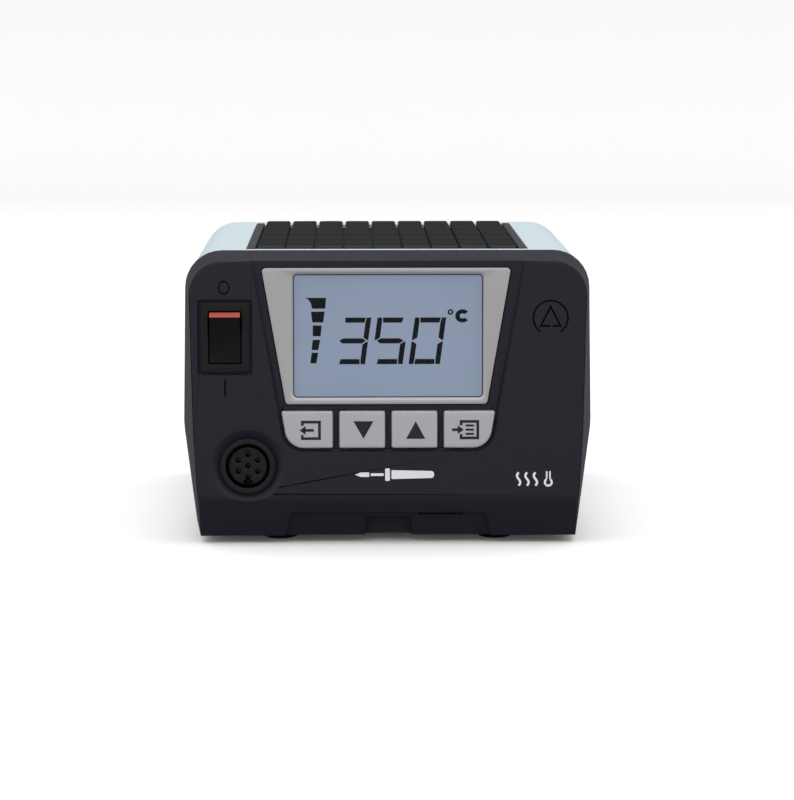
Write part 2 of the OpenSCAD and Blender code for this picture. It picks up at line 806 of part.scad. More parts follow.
module display_window() {
    color([0.75, 0.8, 0.9, 0.4]) on_panel() translate([0, window_mid, lens_back])
        rounded_box([window_w + 2 * lens_margin, window_h + 2 * lens_margin, lens_t], window_r);
}

module lcd_panel() {
    color([0.55, 0.6, 0.7]) on_panel() translate([0, window_mid, lcd_back])
        rounded_box([window_w + 2.8, window_h + 3, lcd_t], 0.4);
}

module lcd_backlight() {
    color([0.9, 0.92, 0.95]) on_panel() translate([0, window_mid, backlight_back])
        rounded_box([window_w + 4, window_h + 4, backlight_t], 0.4);
}

board_low = key_low - 1.2;
board_wide = board_boss_x + 3.6;
board_narrow = outer_key_mid + 5.5;
board_step = board_boss_v[0] - 4;

module display_board() {
    color([0.1, 0.38, 0.2]) difference() {
        on_panel_slab([
            [-board_narrow, board_low], [board_narrow, board_low],
            [board_narrow, board_step], [board_wide, board_step],
            [board_wide, board_boss_v[1] + 4], [-board_wide, board_boss_v[1] + 4],
            [-board_wide, board_step], [-board_narrow, board_step]
        ], board_back, board_front);
        on_panel() for (x = [-board_boss_x, board_boss_x], v = board_boss_v)
            translate([x, v, board_back - 1]) cylinder(d = 2.4 + screw_gap, h = board_t + 2);
    }
}

module display_board_screws() {
    color([0.75, 0.75, 0.78]) on_panel() for (x = [-board_boss_x, board_boss_x], v = board_boss_v)
        translate([x, v, board_back]) rotate([180, 0, 0]) pan_screw(2, board_t + 4, 4, 1.5);
}

module display_chips() {
    color([0.1, 0.1, 0.11]) on_panel() {
        translate([-10, window_mid - 5, board_back - 1.4]) cube([10, 10, 1.4]);
        translate([8, window_mid + 4, board_back - 1.2]) cube([5, 6, 1.2]);
        translate([-26, window_mid + 2, board_back - 1.2]) cube([7, 5, 1.2]);
        translate([-22, key_mid_v - 1, board_back - 6]) cube([20, 5, 6]);
    }
}

// ---- Keys ----
flange_front = -face_wall - 0.2;
flange_back = flange_front - 1;
stem_end = board_front + 1.7;
tact_top = board_front + 3;

module key_solid(pts, inner, mid) {
    color([0.68, 0.68, 0.7]) {
        on_panel_slab(pts, flange_front - eps, key_proud);
        on_panel_slab(inner, flange_back, flange_front);
        on_panel() translate([mid, key_mid_v, stem_end])
            cylinder(d = key_stem_d, h = flange_back - stem_end + eps);
    }
}

key_flange = -key_gap - 0.45;

module exit_key() {
    mirror([1, 0, 0]) key_solid(outer_key(), outer_key(key_flange), outer_key_mid);
}

module down_key() {
    mirror([1, 0, 0]) key_solid(middle_key(), middle_key(key_flange), middle_key_mid);
}

module up_key() {
    key_solid(middle_key(), middle_key(key_flange), middle_key_mid);
}

module menu_key() {
    key_solid(outer_key(), outer_key(key_flange), outer_key_mid);
}

module key_switches() {
    color([0.15, 0.15, 0.16]) on_panel()
        for (x = [-outer_key_mid, -middle_key_mid, middle_key_mid, outer_key_mid])
            translate([x, key_mid_v, board_front]) difference() {
                translate([-3, -3, 0]) cube([6, 6, tact_top - board_front]);
                translate([0, 0, 0.8]) cylinder(d = key_stem_d + 0.4, h = 4);
            }
}

// ---- Power switch ----
flange_low = -1.2;
flange_high = 0.3;
switch_depth = 15;
pivot_w = flange_high - pivot_depth;
corner_angle = 55;
rocker_valley = pivot_depth - 0.1;

// Places a shape about the rocker's pivot: X along the pivot, Y up the panel, Z outwards
module at_pivot() {
    on_panel() translate([switch_x, switch_up, pivot_w]) children();
}

// A disc sector solid about the pivot, w wide along X
module drum(r, w) {
    rotate([0, 90, 0]) translate([0, 0, -w / 2]) cylinder(r = r, h = w);
}

module switch_housing() {
    color([0.07, 0.07, 0.08]) on_panel() translate([switch_x, switch_up, 0]) difference() {
        union() {
            translate([0, 0, flange_low]) rounded_box([switch_w, switch_h, flange_high - flange_low], 0.8);
            translate([0, 0, -switch_depth])
                rounded_box([switch_body_w, switch_body_h, switch_depth + flange_low + 0.2], 0.3);
        }
        translate([0, 0, pivot_w]) {
            intersection() {
                drum(rocker_r + rocker_gap, rocker_w + 2 * rocker_gap);
                translate([-20, -20, -6.4]) cube([40, 40, 40]);
            }
            drum(0.95, rocker_w + 2.4);
        }
    }
}

// The rocker at rest is on: its lower half is pressed in and its upper end stands out
module rocker_blank(r, w) {
    rise = rocker_r * cos(corner_angle);
    run = rocker_r * sin(corner_angle);
    rotate([rocker_swing / 2, 0, 0]) intersection() {
        drum(r, w);
        rotate([0, 90, 0]) rotate([0, 0, 90]) translate([0, 0, -w / 2]) linear_extrude(w) polygon([
            [-run * 1.5, rise * 1.5 - rocker_valley * 0.5], [-run * 1.5, 1.5], [-6, -2.6], [6, -2.6],
            [run * 1.5, 1.5], [run * 1.5, rise * 1.5 - rocker_valley * 0.5], [0, rocker_valley]
        ]);
    }
}

marker_t = 0.5;

module marker_zone(w) {
    rotate([rocker_swing / 2, 0, 0]) rotate([0, 90, 0]) rotate([0, 0, 90])
        translate([0, 0, -w / 2]) linear_extrude(w) polygon([
            [0, 0], [20 * sin(corner_angle), 20 * cos(corner_angle)],
            [20 * sin(corner_angle + rocker_swing), 20 * cos(corner_angle + rocker_swing)]
        ]);
}

module power_rocker() {
    color([0.09, 0.09, 0.1]) at_pivot() {
        difference() {
            rocker_blank(rocker_r, rocker_w);
            difference() {
                marker_zone(rocker_w + 1);
                drum(rocker_r - marker_t, rocker_w + 2);
            }
        }
        drum(0.9, rocker_w + 2);
    }
}

module rocker_marker() {
    color([0.75, 0.25, 0.2]) at_pivot() difference() {
        intersection() {
            drum(rocker_r, rocker_w - 0.3);
            marker_zone(rocker_w);
            rocker_blank(rocker_r + 1, rocker_w);
        }
        drum(rocker_r - marker_t, rocker_w + 2);
    }
}

terminal_x = 3.6;
terminal_v = 6;
terminal_l = 8;

module switch_terminals() {
    color([0.8, 0.75, 0.55]) on_panel() for (x = [-terminal_x, terminal_x], v = [-terminal_v, terminal_v])
        translate([switch_x + x - 2.4, switch_up + v - 0.4, -switch_depth - terminal_l])
            cube([4.8, 0.8, terminal_l]);
}

// ---- Tool socket ----
shell_floor = 1.6;
carrier_recess = 2;
notch_w = 2.9;
contact_angles = [for (k = [0:5]) 30 + 60 * k];

module at_socket() {
    on_panel() translate([socket_x, socket_up, 0]) children();
}

module contact_places() {
    for (a = contact_angles) rotate([0, 0, a]) translate([contact_circle / 2, 0, 0]) children();
    children();
}

module socket_shell() {
    color([0.17, 0.17, 0.18]) at_socket() difference() {
        union() {
            translate([0, 0, -dish_depth]) cylinder(d = ring_d, h = dish_depth);
            translate([0, 0, -sleeve_depth - shell_floor])
                cylinder(d = barrel_d, h = sleeve_depth + shell_floor - dish_depth + eps);
        }
        translate([0, 0, -sleeve_depth]) cylinder(d = sleeve_d, h = sleeve_depth + 1);
        translate([0, 0, -sleeve_depth - 3]) contact_places() cylinder(d = contact_d, h = 4);
    }
}

module socket_carrier() {
    color([0.12, 0.12, 0.13]) at_socket() difference() {
        translate([0, 0, -sleeve_depth]) cylinder(d = carrier_d, h = sleeve_depth - carrier_recess);
        translate([0, 0, -sleeve_depth - 1]) contact_places() cylinder(d = contact_d, h = 20);
        translate([-notch_w / 2, -carrier_d / 2 - 1, -sleeve_depth - 1]) cube([notch_w, 2.6, 20]);
    }
}

tail_end = -sleeve_depth - shell_floor - 4;

module socket_contacts() {
    color([0.85, 0.7, 0.3]) at_socket() contact_places() difference() {
        translate([0, 0, tail_end]) cylinder(d = contact_d - 0.1, h = -tail_end - 3.2);
        translate([0, 0, -9]) cylinder(d = contact_d - 0.7, h = 9);
    }
}

module socket_nut() {
    color([0.7, 0.71, 0.72]) at_socket() difference() {
        translate([0, 0, -face_wall - 3]) cylinder(d = nut_d, h = 3, $fn = 6);
        translate([0, 0, -face_wall - 4]) cylinder(d = barrel_d + set_gap, h = 5);
    }
}

// ---- Back fittings ----
inlet_body_w = 28;
inlet_body_h = 32;
inlet_body_d = 22;
inlet_w = 50;
inlet_h = 36;
inlet_screw_x = 20;
cavity_w = 24.3;
cavity_h = 16.6;
cavity_depth = 16.5;
cavity_up = 5.4;
drawer_w = 21.6;
drawer_down = 10.4;
drawer_l = 21;
pin_places = [[-7, -2], [7, -2], [0, 2]];

// Places a shape on the mains inlet's face: X across, Y up, Z outwards
module at_inlet() {
    translate([inlet_x, inlet_face_y, inlet_z]) rotate([90, 0, 180]) mirror([1, 0, 0]) children();
}

module cavity_outline() {
    x = cavity_w / 2;
    y = cavity_h / 2;
    polygon([[-x, -y], [x, -y], [x, y - 5], [x - 5, y], [-x + 5, y], [-x, y - 5]]);
}

module mains_inlet() {
    color([0.06, 0.06, 0.07]) at_inlet() difference() {
        union() {
            translate([0, 0, -inlet_flange_t]) rounded_box([inlet_w, inlet_h, inlet_flange_t], 4);
            translate([0, 0, -inlet_flange_t - inlet_body_d])
                rounded_box([inlet_body_w, inlet_body_h, inlet_body_d + 0.5], 0.5);
        }
        translate([0, cavity_up, -cavity_depth]) linear_extrude(cavity_depth + 1) cavity_outline();
        translate([-drawer_w / 2 - drawer_gap, -drawer_down - drawer_h / 2 - drawer_gap, -drawer_l - 0.5])
            cube([drawer_w + 2 * drawer_gap, drawer_h + 2 * drawer_gap, drawer_l + 2]);
        for (p = pin_places)
            translate([p[0] - 1, p[1] + cavity_up - 2, -inlet_body_d - 4]) cube([2, 4, 10]);
        for (side = [-1, 1]) translate([side * inlet_screw_x, 0, -inlet_flange_t - 1]) {
            cylinder(d = 3 + screw_gap, h = inlet_flange_t + 2);
            translate([0, 0, 1 + inlet_flange_t - 1.5])
                cylinder(d1 = 3 + screw_gap, d2 = 6.4, h = 1.5 + eps);
        }
    }
}

module inlet_pins() {
    color([0.78, 0.78, 0.75]) at_inlet() for (p = pin_places) {
        translate([p[0] - 1, p[1] + cavity_up - 2, -inlet_body_d - inlet_flange_t - 2])
            cube([2, 4, inlet_body_d + inlet_flange_t - 1]);
        translate([p[0] - 0.4, p[1] + cavity_up - 2, -inlet_body_d - inlet_flange_t - 9])
            cube([0.8, 4, 7.5]);
    }
}

module inlet_screws() {
    color([0.75, 0.75, 0.78]) at_inlet() for (side = [-1, 1]) translate([side * inlet_screw_x, 0, 0])
        difference() {
            union() {
                translate([0, 0, -1.5]) cylinder(d1 = 3, d2 = 6, h = 1.5);
                translate([0, 0, -9]) cylinder(d = 3, h = 8);
            }
            for (a = [0, 90]) rotate([0, 0, a]) translate([-1.6, -0.3, -0.9]) cube([3.2, 0.6, 2]);
        }
}

fuse_d = 5;
fuse_l = 18;

module fuse_drawer() {
    color([0.1, 0.1, 0.11]) at_inlet() translate([0, -drawer_down, 0]) difference() {
        translate([-drawer_w / 2, -drawer_h / 2, -drawer_l]) cube([drawer_w, drawer_h, drawer_l]);
        for (x = [-5.3, 5.3])
            translate([x - fuse_d / 2 - 0.2, -fuse_d / 2 - 0.2, -drawer_l + 0.8])
                cube([fuse_d + 0.4, drawer_h, fuse_l + 0.4]);
        translate([-4, -drawer_h / 2 - 1, -1.2]) cube([8, 2.4, 3]);
    }
}

module fuses() {
    color([0.8, 0.83, 0.85]) at_inlet() translate([0, -drawer_down, 0]) for (x = [-5.3, 5.3])
        translate([x, 0.0, -drawer_l + 1]) cylinder(d = fuse_d, h = fuse_l);
}

jack_body_d = 8;
jack_flange_d = 11;

module bonding_socket() {
    color([0.75, 0.76, 0.78]) difference() {
        union() {
            rod_y(jack_x, jack_z, jack_flange_d, back_y, back_y + 1.5);
            rod_y(jack_x, jack_z, jack_body_d, back_y + 1.5 - jack_depth - 2, back_y + 0.5);
        }
        rod_y(jack_x, jack_z, jack_d, back_y + 1.5 - jack_depth, back_y + 3);
    }
}

module bonding_nut() {
    color([0.7, 0.71, 0.72]) difference() {
        translate([jack_x, back_y - panel_t, jack_z]) rotate([90, 0, 0])
            cylinder(d = jack_body_d + 4.2, h = 2.4, $fn = 6);
        rod_y(jack_x, jack_z, jack_body_d + set_gap, back_y - 8, back_y);
    }
}

module bezel_screws() {
    color([0.72, 0.72, 0.75]) {
        for (side = [-1, 1]) {
            translate([side * low_boss[0], seam_y + 2, low_boss[1]]) rotate([-90, 0, 0])
                pan_screw(bezel_screw_d - 0.4, 9, 5.5, 1.8);
            translate([side * high_boss[0], seam_y + tab_t, high_boss[1]]) rotate([-90, 0, 0])
                pan_screw(bezel_screw_d - 0.4, 8, 5.5, 1.8);
        }
    }
}

module rear_screws() {
    color([0.72, 0.72, 0.75]) for (p = concat(rear_high_places, rear_low_places))
        translate([p[0], back_y, p[1]]) rotate([-90, 0, 0]) difference() {
            pan_screw(rear_screw_d - 0.4, 5, 5.5, 1.6);
            for (a = [0, 90]) rotate([0, 0, a]) translate([-1.6, -0.35, 0.7]) cube([3.2, 0.7, 2]);
        }
}

// ---- Transformer ----
bolt_d = 6;
bolt_head_d = 10;
bolt_head_t = 2.2;
bolt_sink = 1;
pad_t = 1.5;
plate_t = 1.5;
toroid_z = floor_z + pad_t;

module at_toroid() {
    translate([toroid_x, toroid_y, 0]) children();
}

module toroid_winding() {
    x0 = toroid_hole / 2;
    x1 = toroid_d / 2;
    color([0.72, 0.5, 0.15]) at_toroid() translate([0, 0, toroid_z]) rotate_extrude() polygon(
        rounded([[x0, 0], [x1, 0], [x1, toroid_h], [x0, toroid_h]], [5, 9, 9, 5], 0, 5));
}

module toroid_pads() {
    color([0.1, 0.1, 0.1]) at_toroid() for (z = [floor_z, toroid_z + toroid_h])
        translate([0, 0, z]) difference() {
            cylinder(d = toroid_d - 22, h = pad_t);
            translate([0, 0, -1]) cylinder(d = bolt_d + 4, h = pad_t + 2);
        }
}

module toroid_plate() {
    color([0.75, 0.76, 0.78]) at_toroid() translate([0, 0, toroid_z + toroid_h + pad_t]) difference() {
        cylinder(d = toroid_d - 26, h = plate_t);
        translate([0, 0, -1]) cylinder(d = bolt_d + 2 * set_gap, h = plate_t + 2);
    }
}

module toroid_bolt() {
    top = toroid_z + toroid_h + pad_t + plate_t;
    color([0.7, 0.71, 0.73]) at_toroid() {
        translate([0, 0, under_z - bolt_head_t + bolt_sink]) cylinder(d = bolt_head_d, h = bolt_head_t);
        translate([0, 0, under_z + bolt_sink - eps]) cylinder(d = bolt_d, h = top + 7 - under_z - bolt_sink);
    }
}

module toroid_nut() {
    top = toroid_z + toroid_h + pad_t + plate_t;
    color([0.7, 0.71, 0.73]) at_toroid() translate([0, 0, top]) difference() {
        cylinder(d = 11, h = 5, $fn = 6);
        translate([0, 0, -1]) cylinder(d = bolt_d + 0.1, h = 7);
    }
}

// ---- Mains board on its bracket, along the left wall ----
bracket_x = -half_w + side_tuck + tray_wall + 4.4;
bracket_t = 1.2;
standoff_h = 4;
board_x = bracket_x + bracket_t + standoff_h;
board_y0 = front_y + 34;
board_z0 = floor_z + 10;
bracket_screw_y = [board_y0 + 12, board_y0 + board_l - 12];
standoff_places = [
    for (y = [board_y0 + 4, board_y0 + board_l - 4], z = [board_z0 + 4, board_z0 + board_h - 4]) [y, z]
];

module rod_x(y, z, d, x0, x1, sides = 48) {
    translate([x0, y, z]) rotate([0, 90, 0]) cylinder(d = d, h = x1 - x0, $fn = sides);
}

module board_bracket() {
    color([0.72, 0.73, 0.75]) difference() {
        union() {
            box([bracket_x, board_y0, floor_z], [bracket_x + bracket_t, board_y0 + board_l, board_z0 + board_h]);
            box([bracket_x, board_y0, floor_z], [bracket_x + 14, board_y0 + board_l, floor_z + bracket_t]);
        }
        for (p = standoff_places) rod_x(p[0], p[1], 2.6, bracket_x - 1, bracket_x + 3);
        for (y = bracket_screw_y)
            translate([bracket_x + 7, y, floor_z - 1]) cylinder(d = 2.6, h = bracket_t + 2);
    }
}

module bracket_screws() {
    color([0.72, 0.72, 0.75]) for (y = bracket_screw_y)
        translate([bracket_x + 7, y, under_z]) rotate([180, 0, 0]) pan_screw(2.6, 6, 5, 1.4);
}

module main_board() {
    color([0.1, 0.38, 0.2]) difference() {
        box([board_x, board_y0, board_z0], [board_x + board_t, board_y0 + board_l, board_z0 + board_h]);
        for (p = standoff_places) rod_x(p[0], p[1], 2.6 + screw_gap, board_x - 1, board_x + 3);
    }
}

module board_standoffs() {
    color([0.85, 0.78, 0.5]) for (p = standoff_places) difference() {
        rod_x(p[0], p[1], 6, bracket_x + bracket_t, board_x, 6);
        rod_x(p[0], p[1], 2.6, bracket_x, board_x + 1);
    }
}

module board_screws() {
    color([0.72, 0.72, 0.75]) for (p = standoff_places)
        translate([board_x + board_t, p[0], p[1]]) rotate([0, 90, 0])
            pan_screw(2.6, board_t + standoff_h + bracket_t, 4.6, 1.5);
}

part_x = board_x + board_t;
tall_part = 20;

module filter_capacitors() {
    color([0.15, 0.2, 0.35]) {
        rod_x(board_y0 + 16, board_z0 + 42, 13, part_x, part_x + tall_part);
        rod_x(board_y0 + 16, board_z0 + 25, 10, part_x, part_x + 16);
        rod_x(board_y0 + 30, board_z0 + 44, 10, part_x, part_x + 16);
    }
}

sink_y = board_y0 + 40;
sink_z = board_z0 + 22;
sink_l = 26;
sink_h = 28;

module heat_sink() {
    color([0.62, 0.64, 0.66]) {
        box([part_x, sink_y, sink_z], [part_x + tall_part, sink_y + 2.4, sink_z + sink_h]);
        for (i = [0:5])
            box([part_x + 1 + i * 3.4, sink_y + 2, sink_z], [part_x + 2.2 + i * 3.4, sink_y + 13, sink_z + sink_h]);
    }
}

module power_triacs() {
    color([0.1, 0.1, 0.11]) for (z = [sink_z + 2, sink_z + 15])
        box([part_x + 4, sink_y - 4.4, z], [part_x + 18, sink_y, z + 10]);
}

connector_t = 9;
connector_x = part_x + connector_t;
plug_z = board_z0 + 8;
tool_plug_y = board_y0 + 21;
winding_plug_y = board_y0 + 41;
mains_plug_y = board_y0 + 60;
ribbon_plug_y = board_y0 + 4.5;
ribbon_plug_z = board_z0 + 30;

module board_connectors() {
    color([0.9, 0.9, 0.86]) {
        for (c = [[tool_plug_y, 18], [winding_plug_y, 14], [mains_plug_y, 10]])
            box([part_x, c[0] - c[1] / 2, plug_z - 4], [connector_x, c[0] + c[1] / 2, plug_z + 4]);
        box([part_x, ribbon_plug_y - 2.5, ribbon_plug_z - 7], [connector_x, ribbon_plug_y + 2.5, ribbon_plug_z + 7]);
    }
}

module main_chips() {
    color([0.1, 0.1, 0.11]) {
        box([part_x, board_y0 + 60, board_z0 + 34], [part_x + 1.6, board_y0 + 70, board_z0 + 44]);
        box([part_x, board_y0 + 60, board_z0 + 20], [part_x + 1.6, board_y0 + 68, board_z0 + 26]);
    }
}

module earth_stud() {
    color([0.85, 0.78, 0.5]) translate([stud_place[0], stud_place[1], floor_z]) {
        cylinder(d = 8, h = 2.4, $fn = 6);
        cylinder(d = 4, h = 9);
    }
}

// ---- Leads: routes from terminal to terminal inside the housing ----
lead_d = 2.4;
pin_tail_y = inlet_face_y - inlet_body_d - inlet_flange_t - 9;

// Place of a point given on the panel, at depth w behind its face
function panel_point(x, v, w) = [
    x,
    front_y + v * sin(face_lean) - w * cos(face_lean),
    crease_z + v * cos(face_lean) + w * sin(face_lean)
];

panel_inward = [0, cos(face_lean), -sin(face_lean)];

function terminal_tip(x, v) = panel_point(switch_x + x, switch_up + v, -switch_depth - terminal_l);

function pin_tip(i) = [
    inlet_x + pin_places[i][0], pin_tail_y, inlet_z + cavity_up + pin_places[i][1]
];

// From a switch terminal, over the mains board and down to a blade of the inlet
module switch_run(x, v, i, level) {
    start = terminal_tip(x, v);
    tip = pin_tip(i);
    over = board_z0 + board_h + 8 + level;
    wire([
        start, start + panel_inward * 3, start + panel_inward * 6 + [0, 0, 2],
        [start[0], start[1] + 12, over], [start[0], board_y0 + board_l - 10, over],
        [tip[0], tip[1] - 14, over - 12], [tip[0], tip[1] - 6, tip[2] + 2],
        tip - [0, 3, 0], tip
    ], lead_d);
}

module live_lead() {
    color([0.35, 0.2, 0.1]) switch_run(-terminal_x, terminal_v, 0, 4);
}

module neutral_lead() {
    color([0.15, 0.25, 0.6]) switch_run(terminal_x, terminal_v, 1, 0);
}

// The two switched leads, from the lower terminals past the tall components to the mains board
module switched_leads() {
    color([0.25, 0.25, 0.27]) for (i = [0, 1]) {
        start = terminal_tip((2 * i - 1) * terminal_x, -terminal_v);
        plug = [connector_x, mains_plug_y - 2 + 4 * i, plug_z];
        lane = part_x + tall_part + 4 + 2.5 * i;
        level = start[2] - 4 + 4 * i;
        wire([
            start, start + panel_inward * 2, [start[0] + 5, start[1] + 4, level],
            [lane, start[1] + 8, level], [lane, plug[1] - 16, level], [lane, plug[1] - 2, level - 6],
            [plug[0] + 8, plug[1], plug[2] + 12], plug + [5, 0, 1], plug + [2, 0, 0], plug
        ], 1.8);
    }
}

module earth_lead() {
    tip = pin_tip(2);
    stud = [stud_place[0], stud_place[1], floor_z + 9];
    color([0.35, 0.6, 0.2]) wire([
        tip, tip - [0, 4, 0], tip - [0, 8, 6], stud + [0, 0, 10], stud + [0, 0, 4], stud
    ], lead_d);
}

module transformer_leads() {
    start_z = toroid_z + 8;
    color([0.8, 0.75, 0.3]) for (i = [0:1]) {
        plug = [connector_x, winding_plug_y - 2.5 + i * 5, plug_z];
        a = 180 + 10 * i;
        rim = [toroid_x + toroid_d / 2 * cos(a), toroid_y + toroid_d / 2 * sin(a), start_z];
        wire([plug, plug + [3, 0, 0], (plug + rim) / 2 + [0, 0, -4], rim - [3, 0, 0], rim], 1.8);
    }
}

module tool_leads() {
    color([0.2, 0.2, 0.22]) for (i = [0:2]) {
        a = contact_angles[i];
        u = socket_x + contact_circle / 2 * cos(a);
        v = socket_up + contact_circle / 2 * sin(a);
        start = panel_point(u, v, tail_end);
        plug = [connector_x, tool_plug_y - 6 + i * 4, plug_z];
        wire([
            start, start + panel_inward * 3, start + [2, 9, 0], plug + [5, -6, 0], plug + [3, 0, 0], plug
        ], 1.4);
    }
}

// A flat cable folded from the display board's header to the mains board
ribbon_w = 10;
ribbon_t = 1;

module ribbon_cable() {
    start = panel_point(-12, key_mid_v + 1.5, board_back - 6);
    fold_y = ribbon_plug_y;
    low_z = ribbon_plug_z - ribbon_w / 2;
    color([0.6, 0.6, 0.63]) {
        box([start[0] - ribbon_w / 2, start[1], start[2] - ribbon_t / 2],
            [start[0] + ribbon_w / 2, fold_y + ribbon_t / 2, start[2] + ribbon_t / 2]);
        box([start[0] - ribbon_w / 2, fold_y - ribbon_t / 2, start[2] - ribbon_t / 2],
            [start[0] + ribbon_w / 2, fold_y + ribbon_t / 2, low_z + ribbon_w]);
        box([connector_x, fold_y - ribbon_t / 2, low_z],
            [start[0] + ribbon_w / 2, fold_y + ribbon_t / 2, low_z + ribbon_w]);
    }
}

front_bezel();
top_cover();
base_tray();
rear_panel();
rubber_feet();
mat_pad();
display_trim();
display_window();
lcd_panel();
lcd_backlight();
exit_key();
down_key();
up_key();
menu_key();
key_switches();
display_board();
display_board_screws();
display_chips();
switch_housing();
power_rocker();
rocker_marker();
switch_terminals();
socket_shell();
socket_carrier();
socket_contacts();
socket_nut();
mains_inlet();
inlet_pins();
inlet_screws();
fuse_drawer();
fuses();
bonding_socket();
bonding_nut();
bezel_screws();
rear_screws();
toroid_winding();
toroid_pads();
toroid_plate();
toroid_bolt();
toroid_nut();
board_bracket();
bracket_screws();
main_board();
board_standoffs();
board_screws();
filter_capacitors();
heat_sink();
power_triacs();
board_connectors();
main_chips();
live_lead();
neutral_lead();
switched_leads();
earth_lead();
transformer_leads();
tool_leads();
ribbon_cable();
earth_stud();
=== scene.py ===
import json
import math

import bmesh
import bpy
import numpy as np
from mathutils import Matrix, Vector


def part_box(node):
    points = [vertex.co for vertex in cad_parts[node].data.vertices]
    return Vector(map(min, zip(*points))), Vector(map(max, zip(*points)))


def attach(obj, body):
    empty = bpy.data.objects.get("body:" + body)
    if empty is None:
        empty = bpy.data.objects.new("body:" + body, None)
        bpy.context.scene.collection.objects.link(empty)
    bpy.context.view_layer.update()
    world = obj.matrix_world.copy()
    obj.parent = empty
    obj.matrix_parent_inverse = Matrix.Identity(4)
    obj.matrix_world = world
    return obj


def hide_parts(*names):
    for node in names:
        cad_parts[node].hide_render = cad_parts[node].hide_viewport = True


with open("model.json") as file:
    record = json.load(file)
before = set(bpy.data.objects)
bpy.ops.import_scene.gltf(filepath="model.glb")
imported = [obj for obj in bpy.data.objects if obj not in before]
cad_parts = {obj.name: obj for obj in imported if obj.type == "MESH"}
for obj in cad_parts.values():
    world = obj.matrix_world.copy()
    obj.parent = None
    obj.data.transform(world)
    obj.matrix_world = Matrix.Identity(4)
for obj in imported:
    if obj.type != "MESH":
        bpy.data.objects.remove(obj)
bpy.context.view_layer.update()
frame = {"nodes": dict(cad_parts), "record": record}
nodes = frame["nodes"]
MM = 0.001


# ---------------------------------------------------------------------------
# The bench: a plain white table that runs up into a white wall behind, in the
# even light of a studio with a bright ceiling and a darker side to the front.
# ---------------------------------------------------------------------------
class Flow:
    """A value that runs through a shader: arithmetic on it adds Math nodes."""

    def __init__(self, sheet, socket):
        self.sheet = sheet
        self.socket = socket

    def math(self, operation, a, b=0.0):
        return self.sheet.node("ShaderNodeMath", {0: a, 1: b}, operation=operation)

    def __add__(self, other):
        return self.math("ADD", self, other)

    __radd__ = __add__

    def __sub__(self, other):
        return self.math("SUBTRACT", self, other)

    def __rsub__(self, other):
        return self.math("SUBTRACT", other, self)

    def __mul__(self, other):
        return self.math("MULTIPLY", self, other)

    __rmul__ = __mul__

    def __gt__(self, other):
        return self.math("GREATER_THAN", self, other)

    def clear_of(self, low, high):
        """0 below low, 1 above high, even in between."""
        return self.sheet.node(
            "ShaderNodeMapRange", {"Value": self, "From Min": low, "From Max": high}
        )


class Sheet:
    """A node tree and the one method that adds nodes to it."""

    def __init__(self, tree):
        self.tree = tree
        tree.nodes.clear()

    def node(self, kind, inputs=None, out=0, **settings):
        """Adds a node: its settings first, then a value or a Flow for each socket."""
        n = self.tree.nodes.new(kind)
        for name, value in settings.items():
            setattr(n, name, value)
        for name, value in (inputs or {}).items():
            self.feed(n.inputs[name], value)
        return Flow(self, n.outputs[out] if n.outputs else None)

    def feed(self, socket, value):
        if isinstance(value, Flow):
            self.tree.links.new(value.socket, socket)
        else:
            socket.default_value = value

    def blend(self, mask, a, b):
        """The colour a where the mask is 0 and b where it is 1."""
        a, b = ((*c, 1.0) if isinstance(c, tuple) else c for c in (a, b))
        return self.node("ShaderNodeMix", {0: mask, 6: a, 7: b}, out=2, data_type="RGBA")

    def split(self, vector):
        """The X, Y and Z of a vector."""
        n = self.node("ShaderNodeSeparateXYZ", {0: vector}).socket.node
        return [Flow(self, s) for s in n.outputs]


world = bpy.data.worlds.new("studio")
bpy.context.scene.world = world
world.use_nodes = True
studio = Sheet(world.node_tree)
ways = studio.split(studio.node("ShaderNodeTexCoord", out=0))
CEILING = 0.92
SIDES = 0.3
ROOM = 0.84
overhead = (ways[2] + ways[1] * 0.3).clear_of(0.35, 0.9)
sideways = (ways[0] * ways[0]).clear_of(0.2, 0.9)
level = overhead * CEILING + sideways * SIDES + ROOM
seen = studio.node("ShaderNodeLightPath", out=0)
light = studio.node("ShaderNodeBackground", {"Color": (1.0, 0.99, 0.98, 1.0), "Strength": level})
wall = studio.node("ShaderNodeBackground", {"Color": (1.0, 1.0, 1.0, 1.0), "Strength": 1.0})
studio.node(
    "ShaderNodeOutputWorld",
    {"Surface": studio.node("ShaderNodeMixShader", {0: seen, 1: light, 2: wall})},
)


